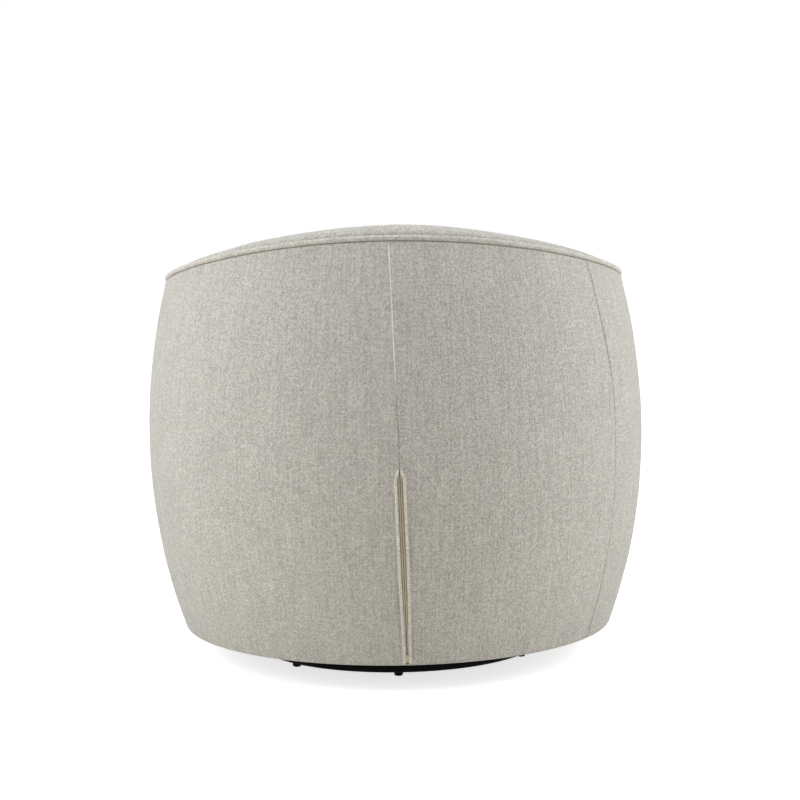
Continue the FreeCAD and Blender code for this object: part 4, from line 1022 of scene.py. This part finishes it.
def unwrap_cushion(cushion):
    """UVs in metres: the plan on top and bottom, the girth and height on the boxing."""
    mesh = cushion.data
    points = mesh_points(cushion)
    _, along = to_outline(points)
    loops = np.empty(len(mesh.loops), int)
    mesh.loops.foreach_get("vertex_index", loops)
    normals = np.array([polygon.normal.z for polygon in mesh.polygons])
    sizes = np.array([polygon.loop_total for polygon in mesh.polygons])
    upright = np.repeat(np.abs(normals) < 0.6, sizes)
    plan = points[loops, :2]
    side = np.stack([along[loops], points[loops, 2]], axis=-1)
    uvs = np.where(upright[:, None], side, plan)
    layer = mesh.uv_layers.new(name="metres")
    layer.data.foreach_set("uv", uvs.reshape(-1))


def make_cushion_welts():
    """The piping round the top and the bottom of the boxing."""
    for name, node, height in (("cushion_welt_top_cord", "cushion_welt_top", CUSHION_EDGE),
                               ("cushion_welt_bottom_cord", "cushion_welt_bottom", 3.2 * MM)):
        plan = cushion_outline(0, 5 * MM)
        path = np.concatenate([plan, np.full((len(plan), 1), CUSHION_BOTTOM + height)], axis=1)
        path[:, 2] += waves(path, 60 * MM, 0.9 * MM, 51)
        ahead = np.roll(path, -1, axis=0) - np.roll(path, 1, axis=0)
        outward = np.stack([ahead[:, 1], -ahead[:, 0], 0 * ahead[:, 0]], axis=-1)
        outward *= np.sign(outward[0, 1])
        welt = make_tube(name, path, outward, CUSHION_WELT, CUSHION_WELT, bias_cover, 12, closed=True)
        settle(welt, "seat_cushion", [node])


# Stage, camera and light
def make_stage():
    """A pale floor that the camera sees as white, but for the object's shadow."""
    floor_finish = Nodes("pale_floor")
    glow = floor_finish.math("MULTIPLY", floor_finish.background_rays(), 0.72)
    grain = floor_finish.noise(floor_finish.coordinates("Object"), 4.0)
    colour = floor_finish.ramp(grain, (0.3, (0.81, 0.785, 0.745)), (0.7, (0.84, 0.815, 0.775)))
    floor_finish.finish(base_color=colour, roughness=0.9, emission_color=(1, 1, 1, 1),
                        emission_strength=glow)
    bpy.ops.mesh.primitive_plane_add(size=24, location=(0, 0, 0))
    floor = bpy.context.object
    floor.name = "floor"
    floor.data.materials.append(floor_finish.material)


def make_world():
    """White to the camera, and weaker as light."""
    world = bpy.data.worlds.new("studio")
    bpy.context.scene.world = world
    sky = Nodes("studio", world)
    strength = sky.add("ShaderNodeMapRange", {0: sky.background_rays(), "To Min": 0.43, "To Max": 1.0})
    sky.finish(color=(1, 1, 1, 1), strength=strength.outputs[0])


def add_lamp(name, place, target, size, power, colour):
    """A rectangular softbox that faces its target."""
    light = bpy.data.lights.new(name, "AREA")
    light.shape = "RECTANGLE"
    light.size, light.size_y = size
    light.energy = power
    light.color = colour
    lamp = placed(name, light)
    lamp.location = place
    lamp.rotation_euler = (Vector(target) - Vector(place)).to_track_quat("-Z", "Y").to_euler()


def make_lamps():
    add_lamp("left_softbox", (2.5, 0.9, 1.75), (0, 0, 0.4), (1.6, 2.4), 65, (0.91, 0.955, 1))
    add_lamp("right_softbox", (-2.65, 0.45, 1.5), (0, 0, 0.4), (1.6, 2.4), 58, (0.91, 0.955, 1))
    add_lamp("overhead", (0, 0.1, 3.0), (0, 0, 0), (2.4, 2.4), 34, (0.88, 0.94, 1))


def make_camera():
    """Behind the chair, a little above its rim, level but for a slight roll."""
    distance, height, shift = 3.24, 0.7535, -8 * MM
    pitch, roll = math.radians(6.08), math.radians(0.79)
    lens = bpy.data.cameras.new("photo_view")
    lens.sensor_width = 36
    lens.lens = 88.56
    camera = placed("photo_view", lens)
    aim = Matrix.Rotation(math.pi, 4, "Z") @ Matrix.Rotation(math.pi / 2 - pitch, 4, "X")
    camera.matrix_world = Matrix.Translation((shift, distance, height)) @ aim @ Matrix.Rotation(-roll, 4, "Z")
    bpy.context.scene.camera = camera


make_camera()
finish_cad_nodes()
make_outside()
make_roll()
make_inside()
for side in (1, -1):
    make_arm_front(side)
make_welt()
make_zip_lips()
make_seam_ridge()
make_stitches()
make_deck()
make_hem()
make_dust_cover()
make_cushion()
make_stage()
make_world()
make_lamps()
bpy.context.scene.view_settings.view_transform = "Standard"
